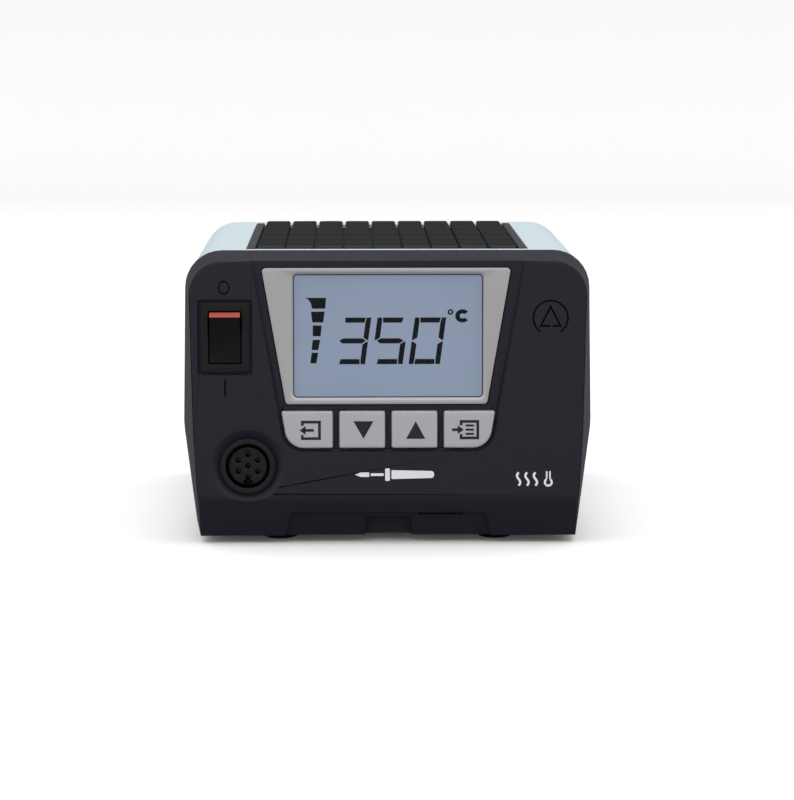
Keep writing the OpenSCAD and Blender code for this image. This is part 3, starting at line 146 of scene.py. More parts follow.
class Finish(Sheet):
    """A material: one shader, its texture coordinates and its noises."""

    def __init__(self, name, colour, rough=0.5, **sockets):
        self.material = bpy.data.materials.new(name)
        self.material.use_nodes = True
        super().__init__(self.material.node_tree)
        self.place = self.node("ShaderNodeTexCoord", out=3)
        self.shader = self.node("ShaderNodeBsdfPrincipled")
        self.sockets = self.shader.socket.node.inputs
        self.node("ShaderNodeOutputMaterial", {"Surface": self.shader})
        self.set("Base Color", colour)
        self.set("Roughness", rough)
        for socket, value in sockets.items():
            self.set(socket.replace("_", " "), value)

    def set(self, socket, value):
        if isinstance(value, tuple) and len(value) == 3:
            value = (*value, 1.0)
        self.feed(self.sockets[socket], value)

    def noise(self, size, detail=2.0, stretch=(1.0, 1.0, 1.0)):
        """Cloudy noise from 0 to 1, with cells about size metres across."""
        where = self.place
        if stretch != (1.0, 1.0, 1.0):
            where = self.node("ShaderNodeMapping", {"Vector": where, "Scale": stretch})
        return self.node(
            "ShaderNodeTexNoise", {"Vector": where, "Scale": 1.0 / size, "Detail": detail}
        )

    def bump(self, height, depth):
        """Raises the surface by height times depth metres, in its shading only."""
        self.set(
            "Normal", self.node("ShaderNodeBump", {"Height": height, "Distance": depth})
        )

    def wash(self, colour, spread, size):
        """A broad, faint change of the colour over the surface."""
        low = tuple(c * (1 - spread) for c in colour)
        high = tuple(min(c * (1 + spread), 1.0) for c in colour)
        self.set("Base Color", self.blend(self.noise(size, 3.0), low, high))


def show(obj, finish):
    """Gives an object its one material."""
    obj.data.materials.clear()
    obj.data.materials.append(finish.material)
    return obj


def new_mesh(name, points, faces):
    """A mesh object from arrays of points and of faces, smooth except at sharp folds."""
    mesh = bpy.data.meshes.new(name)
    mesh.from_pydata(points.reshape(-1, 3).tolist(), [], [list(map(int, f)) for f in faces])
    mesh.update()
    mesh.shade_smooth()
    mesh.set_sharp_from_angle(angle=math.radians(32))
    obj = bpy.data.objects.new(name, mesh)
    bpy.context.scene.collection.objects.link(obj)
    return obj


FLOOR_HALF, FLOOR_FRONT = 2.2, -3.0
WALL_Y, WALL_R, WALL_TOP = 1.6, 0.6, 2.6
turn = np.radians(np.linspace(0, 90, 13))
sweep_y = np.concatenate([[FLOOR_FRONT], WALL_Y + WALL_R * np.sin(turn), [WALL_Y + WALL_R]])
sweep_z = np.concatenate([[0.0], WALL_R * (1 - np.cos(turn)), [WALL_TOP]])
side = np.array([-FLOOR_HALF, FLOOR_HALF])
points = np.stack(
    [
        np.broadcast_to(side[None, :], (len(sweep_y), 2)),
        np.broadcast_to(sweep_y[:, None], (len(sweep_y), 2)),
        np.broadcast_to(sweep_z[:, None], (len(sweep_y), 2)),
    ],
    -1,
)
row = np.arange(len(sweep_y) - 1)[:, None] * 2
bench = new_mesh("bench", points, row + np.array([[0, 1, 3, 2]]))
paper = Finish("white_paper", (0.97, 0.97, 0.97), 0.9, Specular_IOR_Level=0.1)
paper.bump(paper.noise(0.004, 4.0), 0.00002)
bounce = paper.node("ShaderNodeBsdfDiffuse", {"Color": (0.28, 0.28, 0.29, 1.0)})
glow = paper.node("ShaderNodeEmission", {"Strength": 0.04})
lit_paper = paper.node("ShaderNodeAddShader", {0: paper.shader, 1: glow})
direct = paper.node("ShaderNodeLightPath", out=0)
paper.node(
    "ShaderNodeOutputMaterial",
    {"Surface": paper.node("ShaderNodeMixShader", {0: direct, 1: bounce, 2: lit_paper})},
    is_active_output=True,
)
show(bench, paper)

camera = bpy.data.cameras.new("camera")
camera.sensor_width = 36.0
camera.lens = 120.6
camera.clip_start = 0.05
camera.clip_end = 20.0
viewer = bpy.data.objects.new("camera", camera)
viewer.location = (-0.0125, -0.9534, 0.1768)
LOOK_DOWN, LOOK_RIGHT = math.radians(8.274), math.radians(1.0)
viewer.rotation_euler = (math.pi / 2 - LOOK_DOWN, 0.0, -LOOK_RIGHT)
bpy.context.scene.collection.objects.link(viewer)
bpy.context.scene.camera = viewer
bpy.context.scene.view_settings.view_transform = "Standard"


# ---------------------------------------------------------------------------
# Front bezel: one moulding of fine-grained black plastic with a violet cast,
# its openings with small round edges. Two screws at each side hold it.
# ---------------------------------------------------------------------------
node_body = {
    n: body for body, members in frame["record"]["behaviour"]["bodies"].items() for n in members
}
SHARP = math.radians(28)


def softened(node, edge, name, finish):
    """Shows a welded copy of a CAD node with round edges in its place: each fold
    sharper than SHARP becomes an arc that is edge metres wide."""
    mesh = nodes[node].data.copy()
    work = bmesh.new()
    work.from_mesh(mesh)
    bmesh.ops.remove_doubles(work, verts=work.verts, dist=2e-6)
    work.to_mesh(mesh)
    work.free()
    mesh.shade_smooth()
    obj = bpy.data.objects.new(name, mesh)
    bpy.context.scene.collection.objects.link(obj)
    round_off = obj.modifiers.new("round edges", "BEVEL")
    round_off.width = edge
    round_off.segments = 2
    round_off.limit_method = "ANGLE"
    round_off.angle_limit = SHARP
    round_off.use_clamp_overlap = False
    round_off.miter_outer = "MITER_ARC"
    even = obj.modifiers.new("even shading", "WEIGHTED_NORMAL")
    even.weight = 80
    show(obj, finish)
    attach(obj, node_body[node])
    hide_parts(node)


def moulded(name, colour, rough=0.5, grain=0.5 * MM, depth=0.02 * MM, spread=0.06, gloss=0.35):
    """Moulded plastic: a fine spark-eroded grain in height and in gloss."""
    m = Finish(name, colour, rough, Specular_IOR_Level=gloss)
    m.wash(colour, spread, 0.03)
    fine = m.noise(grain, 3.0)
    m.set("Roughness", fine * 0.12 + (rough - 0.06))
    m.bump(fine, depth)
    return m


bezel_plastic = moulded("bezel_plastic", (0.020, 0.0175, 0.028), 0.46, gloss=0.2)
softened("front_bezel", 0.3 * MM, "front_bezel_moulding", bezel_plastic)


# ---------------------------------------------------------------------------
# Cover: folded sheet steel, powder coated pale blue, with the pocket for the
# mat pressed into its top. Behind the bezel it runs back to the back panel.
# ---------------------------------------------------------------------------
def painted(name, colour, rough=0.42, peel=0.9 * MM):
    """Powder coat: the slow waves of the coat over a fine tooth."""
    m = Finish(name, colour, rough, Coat_Roughness=0.3, Specular_IOR_Level=0.4)
    m.wash(colour, 0.025, 0.05)
    waves = m.noise(peel, 2.0)
    tooth = m.noise(peel / 5, 2.0)
    m.set("Roughness", tooth * 0.14 + (rough - 0.07))
    m.bump(waves + tooth * 0.25, 0.012 * MM)
    return m


cover_paint = painted("cover_paint", (0.60, 0.715, 0.76))
softened("top_cover", 0.22 * MM, "top_cover_sheet", cover_paint)


# ---------------------------------------------------------------------------
# Mat: a moulded pad of dark rubber that lies loose in the pocket. Rows of
# blocks stand on a thin web, and a smooth strip runs along each side.
# ---------------------------------------------------------------------------
def rounded(corners, radii, steps=6):
    """An outline through corners given anticlockwise, each turned into an arc of
    its own radius that touches both sides: a few points per corner."""
    c = np.asarray(corners, float)
    before = np.roll(c, 1, 0) - c
    after = np.roll(c, -1, 0) - c
    u = before / np.linalg.norm(before, axis=1)[:, None]
    v = after / np.linalg.norm(after, axis=1)[:, None]
    half = np.arccos(np.clip((u * v).sum(1), -1, 1)) / 2
    r = np.broadcast_to(np.asarray(radii, float), half.shape)
    bisector = (u + v) / np.linalg.norm(u + v, axis=1)[:, None]
    middle = c + bisector * (r / np.sin(half))[:, None]
    start = c + u * (r / np.tan(half))[:, None] - middle
    end = c + v * (r / np.tan(half))[:, None] - middle
    swing = np.arctan2(
        start[:, 0] * end[:, 1] - start[:, 1] * end[:, 0], (start * end).sum(1)
    )
    t = np.linspace(0, 1, steps + 1)[None, :] * swing[:, None]
    x = start[:, 0, None] * np.cos(t) - start[:, 1, None] * np.sin(t)
    y = start[:, 0, None] * np.sin(t) + start[:, 1, None] * np.cos(t)
    return (np.stack([x, y], -1) + middle[:, None, :]).reshape(-1, 2)


def inset(outline, d):
    """The outline moved inwards by d: each point goes along its mitre."""
    e1 = outline - np.roll(outline, 1, 0)
    e2 = np.roll(outline, -1, 0) - outline
    n1 = np.stack([-e1[:, 1], e1[:, 0]], -1) / (np.linalg.norm(e1, axis=1)[:, None] + 1e-12)
    n2 = np.stack([-e2[:, 1], e2[:, 0]], -1) / (np.linalg.norm(e2, axis=1)[:, None] + 1e-12)
    return outline + (n1 + n2) * d / (1 + (n1 * n2).sum(1))[:, None]


class Outline:
    """A polygon with rounded corners. ring(d) gives the outline moved inwards by d:
    its straight sides shift by d and each corner radius shrinks by d, down to almost nothing."""

    def __init__(self, corners, radii, steps=5):
        self.corners = np.asarray(corners, float)
        self.radii = np.broadcast_to(np.asarray(radii, float), (len(self.corners),))
        self.steps = steps

    def ring(self, d=0.0):
        return rounded(inset(self.corners, d), np.maximum(self.radii - d, 0.04), self.steps)


def edge_profile(low, high, r, steps=3):
    """Inset and height up a wall from low to high with a quarter round at the top."""
    a = np.radians(np.linspace(0, 90, steps + 1))
    return [(0.0, low)] + [(r * (1 - math.cos(t)), high - r * (1 - math.sin(t))) for t in a]


def grid_faces(rings, count, loop=False):
    """Quads between neighbouring rings of count points each, closed round each ring. With
    loop the last ring is joined to the first as well."""
    i = np.arange(rings if loop else rings - 1)[:, None]
    k = np.arange(count)[None, :]
    a = i * count + k
    b = i * count + (k + 1) % count
    c = ((i + 1) % rings) * count + (k + 1) % count
    d = ((i + 1) % rings) * count + k
    return np.stack([a, b, c, d], -1).reshape(-1, 4)


def lofted(outline, profile):
    """Points and faces of a solid: the outline inset and raised as each step of
    the profile says, closed by a flat face at both ends."""
    rings = [np.c_[outline.ring(d), np.full(len(outline.ring()), h)] for d, h in profile]
    n = len(rings[0])
    faces = grid_faces(len(rings), n).tolist()
    faces += [list(range(n))[::-1], [(len(rings) - 1) * n + k for k in range(n)]]
    return np.concatenate(rings), faces


def joined(solids):
    """One array of points and one list of faces from several solids."""
    points, faces, first = [], [], 0
    for p, f in solids:
        points.append(p)
        faces += [[k + first for k in face] for face in f]
        first += len(p)
    return np.concatenate(points), faces


def square(x0, y0, x1, y1, r, steps=4):
    return Outline([(x0, y0), (x1, y0), (x1, y1), (x0, y1)], r, steps)


def place_piece(name, solids, finish, node, mapping=None, replaces=True):
    """Makes one object of solids worked out in millimetres, on its node's body."""
    points, faces = joined(solids)
    if mapping is not None:
        points = mapping(points)
    obj = show(new_mesh(name, points * MM, faces), finish)
    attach(obj, node_body[node])
    if replaces:
        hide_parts(node)
    return obj


def rubber(name, colour, rough=0.62, grain=0.25 * MM):
    """Silicone rubber: matt, with faint dusty patches here and there."""
    m = Finish(name, colour, rough, Specular_IOR_Level=0.12)
    dust = m.noise(6 * MM, 4.0).clear_of(0.45, 0.75)
    m.set("Base Color", m.blend(dust, colour, tuple(c * 1.25 + 0.004 for c in colour)))
    fine = m.noise(grain, 2.0)
    m.set("Roughness", fine * 0.1 + (rough - 0.05))
    m.bump(fine, 0.015 * MM)
    return m


mat_low, mat_high = (np.array(c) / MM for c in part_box("mat_pad"))
MAT_WEB = 1.2
MAT_RIM = 2.9
MAT_GAP = 1.0
MAT_GROOVE = 1.1
MAT_COLUMNS, MAT_ROWS = 9, 5
STRIP_DROP, BLOCK_DISH = 0.9, 0.12
SUNK = 0.2
# Depths below the mat top over which the painted highlight fades from the lighter grey low down to the
# near black of the block tops.
PAINTED_HIGHLIGHT_TOP, PAINTED_HIGHLIGHT_END = 0.16, 0.42
field_x0 = mat_low[0] + MAT_RIM + MAT_GAP
field_w = mat_high[0] - mat_low[0] - 2 * (MAT_RIM + MAT_GAP)
field_y0 = mat_low[1] + MAT_GAP
field_l = mat_high[1] - mat_low[1] - 2 * MAT_GAP
pitch_x = (field_w + MAT_GROOVE) / MAT_COLUMNS
pitch_y = (field_l + MAT_GROOVE) / MAT_ROWS
web_top = mat_low[2] + MAT_WEB
web = square(mat_low[0], mat_low[1], mat_high[0], mat_high[1], 0.5)
mat_solids = [lofted(web, [(0, mat_low[2]), (0, web_top)])]
for x0 in (mat_low[0], mat_high[0] - MAT_RIM):
    strip = square(x0, mat_low[1], x0 + MAT_RIM, mat_high[1], 0.5)
    mat_solids.append(lofted(strip, edge_profile(web_top - SUNK, mat_high[2] - STRIP_DROP, 0.4)))
for i in range(MAT_COLUMNS):
    for j in range(MAT_ROWS):
        x, y = field_x0 + i * pitch_x, field_y0 + j * pitch_y
        block = square(x, y, x + pitch_x - MAT_GROOVE, y + pitch_y - MAT_GROOVE, 0.9)
        wall = edge_profile(web_top - SUNK, mat_high[2], 0.55, 4)
        mat_solids.append(lofted(block, wall + [(2.5, mat_high[2] - BLOCK_DISH)]))
mat_rubber = rubber("mat_rubber", (0.010, 0.010, 0.0102), 0.7)
# Painted highlight: the web, the grooves and the block sides below the block tops are painted a lighter
# grey. This stands in for the light caught along the block edges, while the block tops stay near black.
height = mat_rubber.split(mat_rubber.place)[2]
raised = height.clear_of((mat_high[2] - PAINTED_HIGHLIGHT_END) * MM, (mat_high[2] - PAINTED_HIGHLIGHT_TOP) * MM)
mat_rubber.set("Base Color", mat_rubber.blend(raised, (0.055, 0.058, 0.062), (0.008, 0.008, 0.0082)))
place_piece("mat", mat_solids, mat_rubber, "mat_pad")


# ---------------------------------------------------------------------------
# Display trim: a thin tray-shaped plate of satin silver plastic, pressed into
# the channel of the bezel, with a sloped edge all round its window.
# ---------------------------------------------------------------------------
LEAN = math.radians(5.0)
CREASE = np.array([0.0, -74.5, 16.0])


def on_panel(p):
    """Places points given as X, distance up the leaning panel and height above it."""
    x, v, w = p[..., 0], p[..., 1], p[..., 2]
    y = CREASE[1] + v * math.sin(LEAN) - w * math.cos(LEAN)
    z = CREASE[2] + v * math.cos(LEAN) + w * math.sin(LEAN)
    return np.stack([x, y, z], -1)


def frame_solid(outer, inner, profile):
    """A closed frame between two outlines with equally many points: each step of the
    profile takes the outer (0) or inner (1) outline, an inset and a height."""
    rings = [
        np.c_[(outer, inner)[which].ring(d), np.full(len(outer.ring()), h)]
        for which, d, h in profile
    ]
    return np.concatenate(rings), grid_faces(len(rings), len(rings[0]), True).tolist()


FLARE = math.tan(math.radians(10.0))
WINDOW_LOW, WINDOW_HIGH, WINDOW_HALF = 33.45, 74.45, 31.6
TRIM_LOW, TRIM_HIGH, TRIM_HALF, TRIM_SHIFT = 31.25, 76.55, 33.9, -0.6
TRIM_FRONT, TRIM_BACK = -0.8, -2.2


def flared(half, v):
    return half + (v - WINDOW_LOW) * FLARE


trim_outer = Outline(
    [
        (TRIM_SHIFT - flared(TRIM_HALF, TRIM_LOW), TRIM_LOW),
        (TRIM_SHIFT + flared(TRIM_HALF, TRIM_LOW), TRIM_LOW),
        (TRIM_SHIFT + flared(TRIM_HALF, TRIM_HIGH), TRIM_HIGH),
        (TRIM_SHIFT - flared(TRIM_HALF, TRIM_HIGH), TRIM_HIGH),
    ],
    1.2,
)
window_edge = square(-WINDOW_HALF, WINDOW_LOW, WINDOW_HALF, WINDOW_HIGH, 1.4, 5)
trim_steps = [
    (0, 0.0, TRIM_BACK), (0, 0.0, TRIM_FRONT - 0.3), (0, 0.09, TRIM_FRONT - 0.09),
    (0, 0.3, TRIM_FRONT), (1, -0.75, TRIM_FRONT), (1, -0.62, TRIM_FRONT - 0.08),
    (1, -0.12, TRIM_FRONT - 0.55), (1, 0.0, TRIM_FRONT - 0.7), (1, 0.0, TRIM_BACK),
]
trim_silver = Finish("trim_silver", (0.50, 0.495, 0.50), 0.38, Metallic=0.3, Specular_IOR_Level=0.4)
mottle = trim_silver.noise(0.35 * MM, 3.0)
trim_silver.set("Base Color", trim_silver.blend(mottle, (0.44, 0.435, 0.44), (0.53, 0.525, 0.53)))
trim_silver.set("Roughness", trim_silver.noise(2 * MM, 3.0) * 0.12 + 0.32)
trim_silver.bump(mottle, 0.006 * MM)
place_piece("display_trim_plate", [frame_solid(trim_outer, window_edge, trim_steps)], trim_silver,
            "display_trim", on_panel)


# ---------------------------------------------------------------------------
# Display: a clear acrylic window over a pale blue liquid crystal panel, with a
# thin black band round its edge that is painted shade, standing for the shadow
# of the trim's inner bevel. The dark bar, figures and degree sign are
# switched-on crystals in that panel, and a white diffuser lights it.
# ---------------------------------------------------------------------------
LCD_FRONT = -4.0
CRYSTAL = (LCD_FRONT + 0.01, LCD_FRONT + 0.05)
SHADE_BAND_FRONT, SHADE_BAND_W = TRIM_BACK + 0.45, 0.3
LENS_LAP, LENS_BACK = 1.2, -3.8
# Painted shade: a thin black band, 0.3 mm wide, lines the window's edge just in front of the lens. It
# sits where the trim's inner bevel throws a dark line of shadow onto the display.
shade_band_steps = [
    (0, 0.0, TRIM_BACK), (0, 0.0, SHADE_BAND_FRONT), (0, SHADE_BAND_W, SHADE_BAND_FRONT), (0, SHADE_BAND_W, TRIM_BACK)
]
shade_band_rubber = rubber("shade_band_rubber", (0.01, 0.01, 0.012))
place_piece("window_shade_band", [frame_solid(window_edge, window_edge, shade_band_steps)], shade_band_rubber,
            "display_trim", on_panel, replaces=False)

glass = Finish("window_acrylic", (0.10, 0.11, 0.13), 0.08, Alpha=0.04, IOR=1.49)
glass.set("Roughness", glass.noise(12 * MM, 2.0) * 0.05 + 0.06)
lens = square(
    -WINDOW_HALF - LENS_LAP, WINDOW_LOW - LENS_LAP, WINDOW_HALF + LENS_LAP, WINDOW_HIGH + LENS_LAP,
    1.4, 4,
)
lens_steps = [(0.0, LENS_BACK)] + edge_profile(LENS_BACK + 0.1, TRIM_BACK, 0.1)
place_piece("display_lens", [lofted(lens, lens_steps)], glass, "display_window", on_panel)

lcd = Finish("liquid_crystal", (0.10, 0.12, 0.16), 0.4)
lcd_cloud = lcd.noise(25 * MM, 2.0)
lcd.set("Base Color", lcd.blend(lcd_cloud, (0.095, 0.115, 0.155), (0.11, 0.13, 0.172)))
lcd.set("Emission Color", lcd.blend(lcd_cloud, (0.255, 0.31, 0.42), (0.275, 0.33, 0.445)))
lcd.set("Emission Strength", 0.74)
lcd.set("Specular IOR Level", 0.15)
show(nodes["lcd_panel"], lcd)

DIGIT_W, DIGIT_H, BAR, SLANT = 10.45, 15.55, 1.7, math.tan(math.radians(7.8))
DIGIT_LOW = 44.45
SEGMENTS = {"3": "abgcd", "5": "afgcd", "0": "abcdef"}


def figure(which, right):
    """The lit bars of one figure, sheared to the right, right being its top right corner:
    upright bars take the corners, level bars lie between them, all kept a little apart."""
    w, h, t, g = DIGIT_W, DIGIT_H, BAR, 0.28
    m = h / 2
    low, high = m + t / 2, h - t
    bars = {
        "a": [(t + 0.1, h), (w - t - 0.1, h), (w - t - 0.35, high), (t + 0.35, high)],
        "d": [(t + 0.35, t), (w - t - 0.35, t), (w - t - 0.1, 0), (t + 0.1, 0)],
        "g": [(g + 0.5, m), (t + g, m + t / 2), (w - t - g, m + t / 2), (w - g - 0.5, m),
              (w - t - g, m - t / 2), (t + g, m - t / 2)],
        "b": [(w - t + 0.2, h), (w, h), (w, m + g), (w - 0.5, m + g), (w - t, low + g),
              (w - t, high + 0.2)],
        "c": [(w, m - g), (w, 0), (w - t + 0.2, 0), (w - t, t - 0.2), (w - t, m - t / 2 - g),
              (w - 0.5, m - g)],
        "f": [(0, m + g), (0, h), (t - 0.2, h), (t, high + 0.2), (t, low + g), (0.5, m + g)],
        "e": [(0, 0), (0, m - g), (0.5, m - g), (t, m - t / 2 - g), (t, t - 0.2), (t - 0.2, 0)],
    }
    left = right - w - SLANT * h
    for bar in SEGMENTS[which]:
        p = np.array(bars[bar], float)
        yield p @ np.array([[1.0, 0.0], [SLANT, 1.0]]) + (left, DIGIT_LOW)


def printed(outline, low, high):
    """A flat mark as a thin solid: the outline, in either sense, between two heights."""
    p = np.asarray(outline, float)
    area = (p[:, 0] * np.roll(p[:, 1], -1) - p[:, 1] * np.roll(p[:, 0], -1)).sum()
    if area < 0:
        p = p[::-1]
    n = len(p)
    points = np.concatenate([np.c_[p, np.full(n, low)], np.c_[p, np.full(n, high)]])
    faces = grid_faces(2, n).tolist() + [list(range(n))[::-1], list(range(n, 2 * n))]
    return points, faces


def printed_ring(cx, cy, outer, inner, low, high, squash=1.0, steps=40):
    """A flat ring as a thin solid: its small box section is carried round an ellipse."""
    t = np.linspace(0, 2 * math.pi, steps, endpoint=False)[None, :]
    r = np.array([outer, outer, inner, inner])[:, None]
    h = np.array([low, high, high, low])[:, None]
    points = np.stack([cx + r * np.cos(t) * squash, cy + r * np.sin(t), h + 0 * t], -1)
    return points.reshape(-1, 3), grid_faces(4, steps, True).tolist()


def arc_band(cx, cy, outer, inner, start, end, steps=28, squash=1.0):
    """Part of a ring from start to end degrees, as the outline that goes along the outer
    edge and back along the inner one."""
    t = np.radians(np.linspace(start, end, steps))
    a = np.c_[cx + outer * np.cos(t) * squash, cy + outer * np.sin(t)]
    b = np.c_[cx + inner * np.cos(t[::-1]) * squash, cy + inner * np.sin(t[::-1])]
    return np.concatenate([a, b])


graph = [
    [(-27.5, 66.6), (-26.4, 65.9), (-25.7, 64.8), (-25.3, 63.0), (-20.9, 63.0), (-20.6, 66.6)],
    [(-25.7, 62.0), (-25.2, 58.4), (-21.6, 58.4), (-21.1, 62.0)],
    [(-25.1, 57.4), (-25.1, 53.8), (-22.5, 53.8), (-22.1, 57.4)],
    [(-25.1, 52.6), (-25.5, 49.2), (-23.3, 49.2), (-22.6, 52.6)],
    [(-25.5, 48.3), (-25.9, 44.8), (-23.9, 44.8), (-23.3, 48.3)],
]
marks = [printed(p, *CRYSTAL) for p in graph]
for which, right in (("3", -5.57), ("5", 6.97), ("0", 19.43)):
    marks += [printed(p, *CRYSTAL) for p in figure(which, right)]
marks.append(printed_ring(20.85, 61.8, 0.95, 0.4, *CRYSTAL))
marks.append(printed(arc_band(24.85, 60.5, 2.2, 0.85, 40, 320, squash=1.1), *CRYSTAL))
lit = Finish("dark_crystal", (0.003, 0.003, 0.005), 0.5, Specular_IOR_Level=0.08)
lit.wash((0.003, 0.003, 0.005), 0.2, 0.01)
place_piece("display_figures", marks, lit, "lcd_panel", on_panel, replaces=False)

diffuser = moulded("diffuser", (0.82, 0.84, 0.86), 0.4, 0.3 * MM, 0.004 * MM, 0.02)
show(nodes["lcd_backlight"], diffuser)


# ---------------------------------------------------------------------------
# Keys: four light grey caps that slide in openings of the bezel, each on a
# flange and a stem over its switch. The symbols are printed on the caps.
# ---------------------------------------------------------------------------
KEY_LOW, KEY_TOP = 16.75, 28.95
KEY_BACK, KEY_FRONT = -3.61, 0.3
FLANGE_BACK, STEM_END, STEM_R = -4.6, -7.8, 1.65
CHANNEL_HALF, KEY_GAP = 37.6, 1.25
KEY_EDGE_HALF = CHANNEL_HALF - KEY_GAP / math.cos(math.radians(10))
KEY_INNER = 18.55
MIDDLE = [(1.15, KEY_LOW), (16.25, KEY_LOW), (16.25, KEY_TOP), (1.15, KEY_TOP)]
OUTER = [
    (KEY_INNER, KEY_LOW), (flared(KEY_EDGE_HALF, KEY_LOW), KEY_LOW),
    (flared(KEY_EDGE_HALF, KEY_TOP), KEY_TOP), (KEY_INNER, KEY_TOP),
]
STEM_X = {"middle": 8.7, "outer": (KEY_INNER + flared(KEY_EDGE_HALF, KEY_LOW)) / 2}
key_plastic = moulded("key_plastic", (0.50, 0.495, 0.52), 0.42, 0.4 * MM, 0.008 * MM, 0.02, 0.4)
key_ink = moulded("key_ink", (0.016, 0.013, 0.022), 0.5, 0.3 * MM, 0.004 * MM)


def mirrored(outline):
    """The outline on the other side of the middle, still anticlockwise."""
    return Outline(outline.corners[::-1] * (-1.0, 1.0), outline.radii[::-1], outline.steps)


def stroke(path, width):
    """The outline of a line of even width along a path: one side out, the other back."""
    p = np.asarray(path, float)
    e = np.diff(p, axis=0)
    n = np.stack([-e[:, 1], e[:, 0]], -1) / np.linalg.norm(e, axis=1)[:, None]
    first, last = np.concatenate([n[:1], n]), np.concatenate([n, n[-1:]])
    mitre = (first + last) / (1 + (first * last).sum(1))[:, None] * width / 2
    return np.concatenate([p + mitre, (p - mitre)[::-1]])


def key_cap(outline, stem_x, name, node):
    """A cap with a slight crown, its retaining flange and its round stem."""
    mid_v = (KEY_LOW + KEY_TOP) / 2
    cap = lofted(outline, edge_profile(KEY_BACK, KEY_FRONT, 0.45, 4) + [(1.6, KEY_FRONT + 0.015)])
    flange = lofted(outline, [(-0.85, FLANGE_BACK), (-0.85, KEY_BACK + 0.01)])
    r = STEM_R
    round_stem = square(stem_x - r, mid_v - r, stem_x + r, mid_v + r, r - 0.001, 6)
    stem_steps = [(0.2, STEM_END), (0.0, STEM_END + 0.2), (0.0, FLANGE_BACK + 0.01)]
    place_piece(name, [cap, flange, lofted(round_stem, stem_steps)], key_plastic, node, on_panel)


INK_LOW, INK_HIGH = KEY_FRONT - 0.02, KEY_FRONT + 0.04
LINE, FINE_LINE = 0.92, 0.7


def key_print(name, node, outlines):
    solids = [printed(p, INK_LOW, INK_HIGH) for p in outlines]
    place_piece(name, solids, key_ink, node, on_panel, replaces=False)


middle_cap = Outline(MIDDLE, 0.6)
outer_cap = Outline(OUTER, [0.6, 6.25, 0.6, 0.6], 8)
key_cap(middle_cap, STEM_X["middle"], "up_key_cap", "up_key")
key_cap(mirrored(middle_cap), -STEM_X["middle"], "down_key_cap", "down_key")
key_cap(outer_cap, STEM_X["outer"], "menu_key_cap", "menu_key")
key_cap(mirrored(outer_cap), -STEM_X["outer"], "exit_key_cap", "exit_key")
key_print("up_arrow", "up_key", [[(5.9, 19.75), (12.3, 19.75), (9.1, 25.6)]])
key_print("down_arrow", "down_key", [[(-11.6, 25.65), (-4.95, 25.65), (-8.28, 19.8)]])
key_print(
    "exit_symbol", "exit_key",
    [
        stroke(
            [(-28.6, 24.2), (-28.6, 25.4), (-22.9, 25.4), (-22.9, 19.9), (-28.6, 19.9), (-28.6, 21.1)],
            LINE,
        ),
        stroke([(-28.3, 22.65), (-24.8, 22.65)], LINE),
        [(-29.5, 22.65), (-27.5, 24.1), (-27.5, 21.2)],
    ],
)
key_print(
    "menu_symbol", "menu_key",
    [
        stroke(
            [(24.2, 24.2), (24.2, 25.5), (29.75, 25.5), (29.75, 20.0), (24.2, 20.0), (24.2, 21.3)],
            LINE,
        ),
        stroke([(21.2, 22.75), (23.4, 22.75)], LINE),
        [(25.1, 22.75), (23.1, 24.2), (23.1, 21.3)],
    ]
    + [stroke([(25.7, v), (28.5, v)], FINE_LINE) for v in (24.15, 22.75, 21.35)],
)


# ---------------------------------------------------------------------------
# Power switch: a snap-in housing of black nylon with a rocker on a pin. A red
# strip set into the rocker's upper end shows when it is switched on.
# ---------------------------------------------------------------------------
switch_nylon = moulded("switch_nylon", (0.009, 0.009, 0.0105), 0.42, 0.35 * MM, 0.008 * MM, 0.05, 0.2)
rocker_gloss = moulded("rocker_gloss", (0.005, 0.005, 0.006), 0.3, 0.6 * MM, 0.003 * MM, 0.05, 0.15)
marker_red = moulded("marker_red", (0.48, 0.09, 0.065), 0.35, 0.3 * MM, 0.004 * MM, 0.08, 0.3)
softened("switch_housing", 0.28 * MM, "switch_body", switch_nylon)
softened("power_rocker", 0.3 * MM, "rocker", rocker_gloss)
softened("rocker_marker", 0.04 * MM, "rocker_strip", marker_red)


# ---------------------------------------------------------------------------
# Tool socket: a round shell with a front ring, in a dished hollow of the
# bezel, and a contact carrier in it with seven gold-plated contacts.
# ---------------------------------------------------------------------------
socket_plastic = moulded("socket_plastic", (0.008, 0.008, 0.009), 0.42, 0.35 * MM, 0.008 * MM, 0.05, 0.25)
softened("socket_shell", 0.25 * MM, "socket_ring", socket_plastic)
softened("socket_carrier", 0.15 * MM, "socket_insert", socket_plastic)


def metal(name, colour, rough=0.35, size=0.8 * MM, stretch=(1.0, 1.0, 1.0)):
    """Plated or turned metal: fine marks that change its gloss, and a little dulling."""
    m = Finish(name, colour, rough, Metallic=1.0)
    m.wash(colour, 0.08, 4 * MM)
    marks_in = m.noise(size, 4.0, stretch)
    m.set("Roughness", marks_in * 0.25 + (rough - 0.12))
    m.bump(marks_in, 0.003 * MM)
    return m


gold = metal("gold_plating", (0.07, 0.055, 0.035), 0.4)
nickel = metal("nickel_plating", (0.66, 0.66, 0.68), 0.3)
CONTACT_R, BORE_R, BORE_DEPTH, CONTACT_CIRCLE = 0.85, 0.68, 5.0, 7.5 / 2
SOCKET_X, SOCKET_V = -46.8, 10.65
CONTACT_FRONT, CONTACT_BACK = -3.2, -17.6


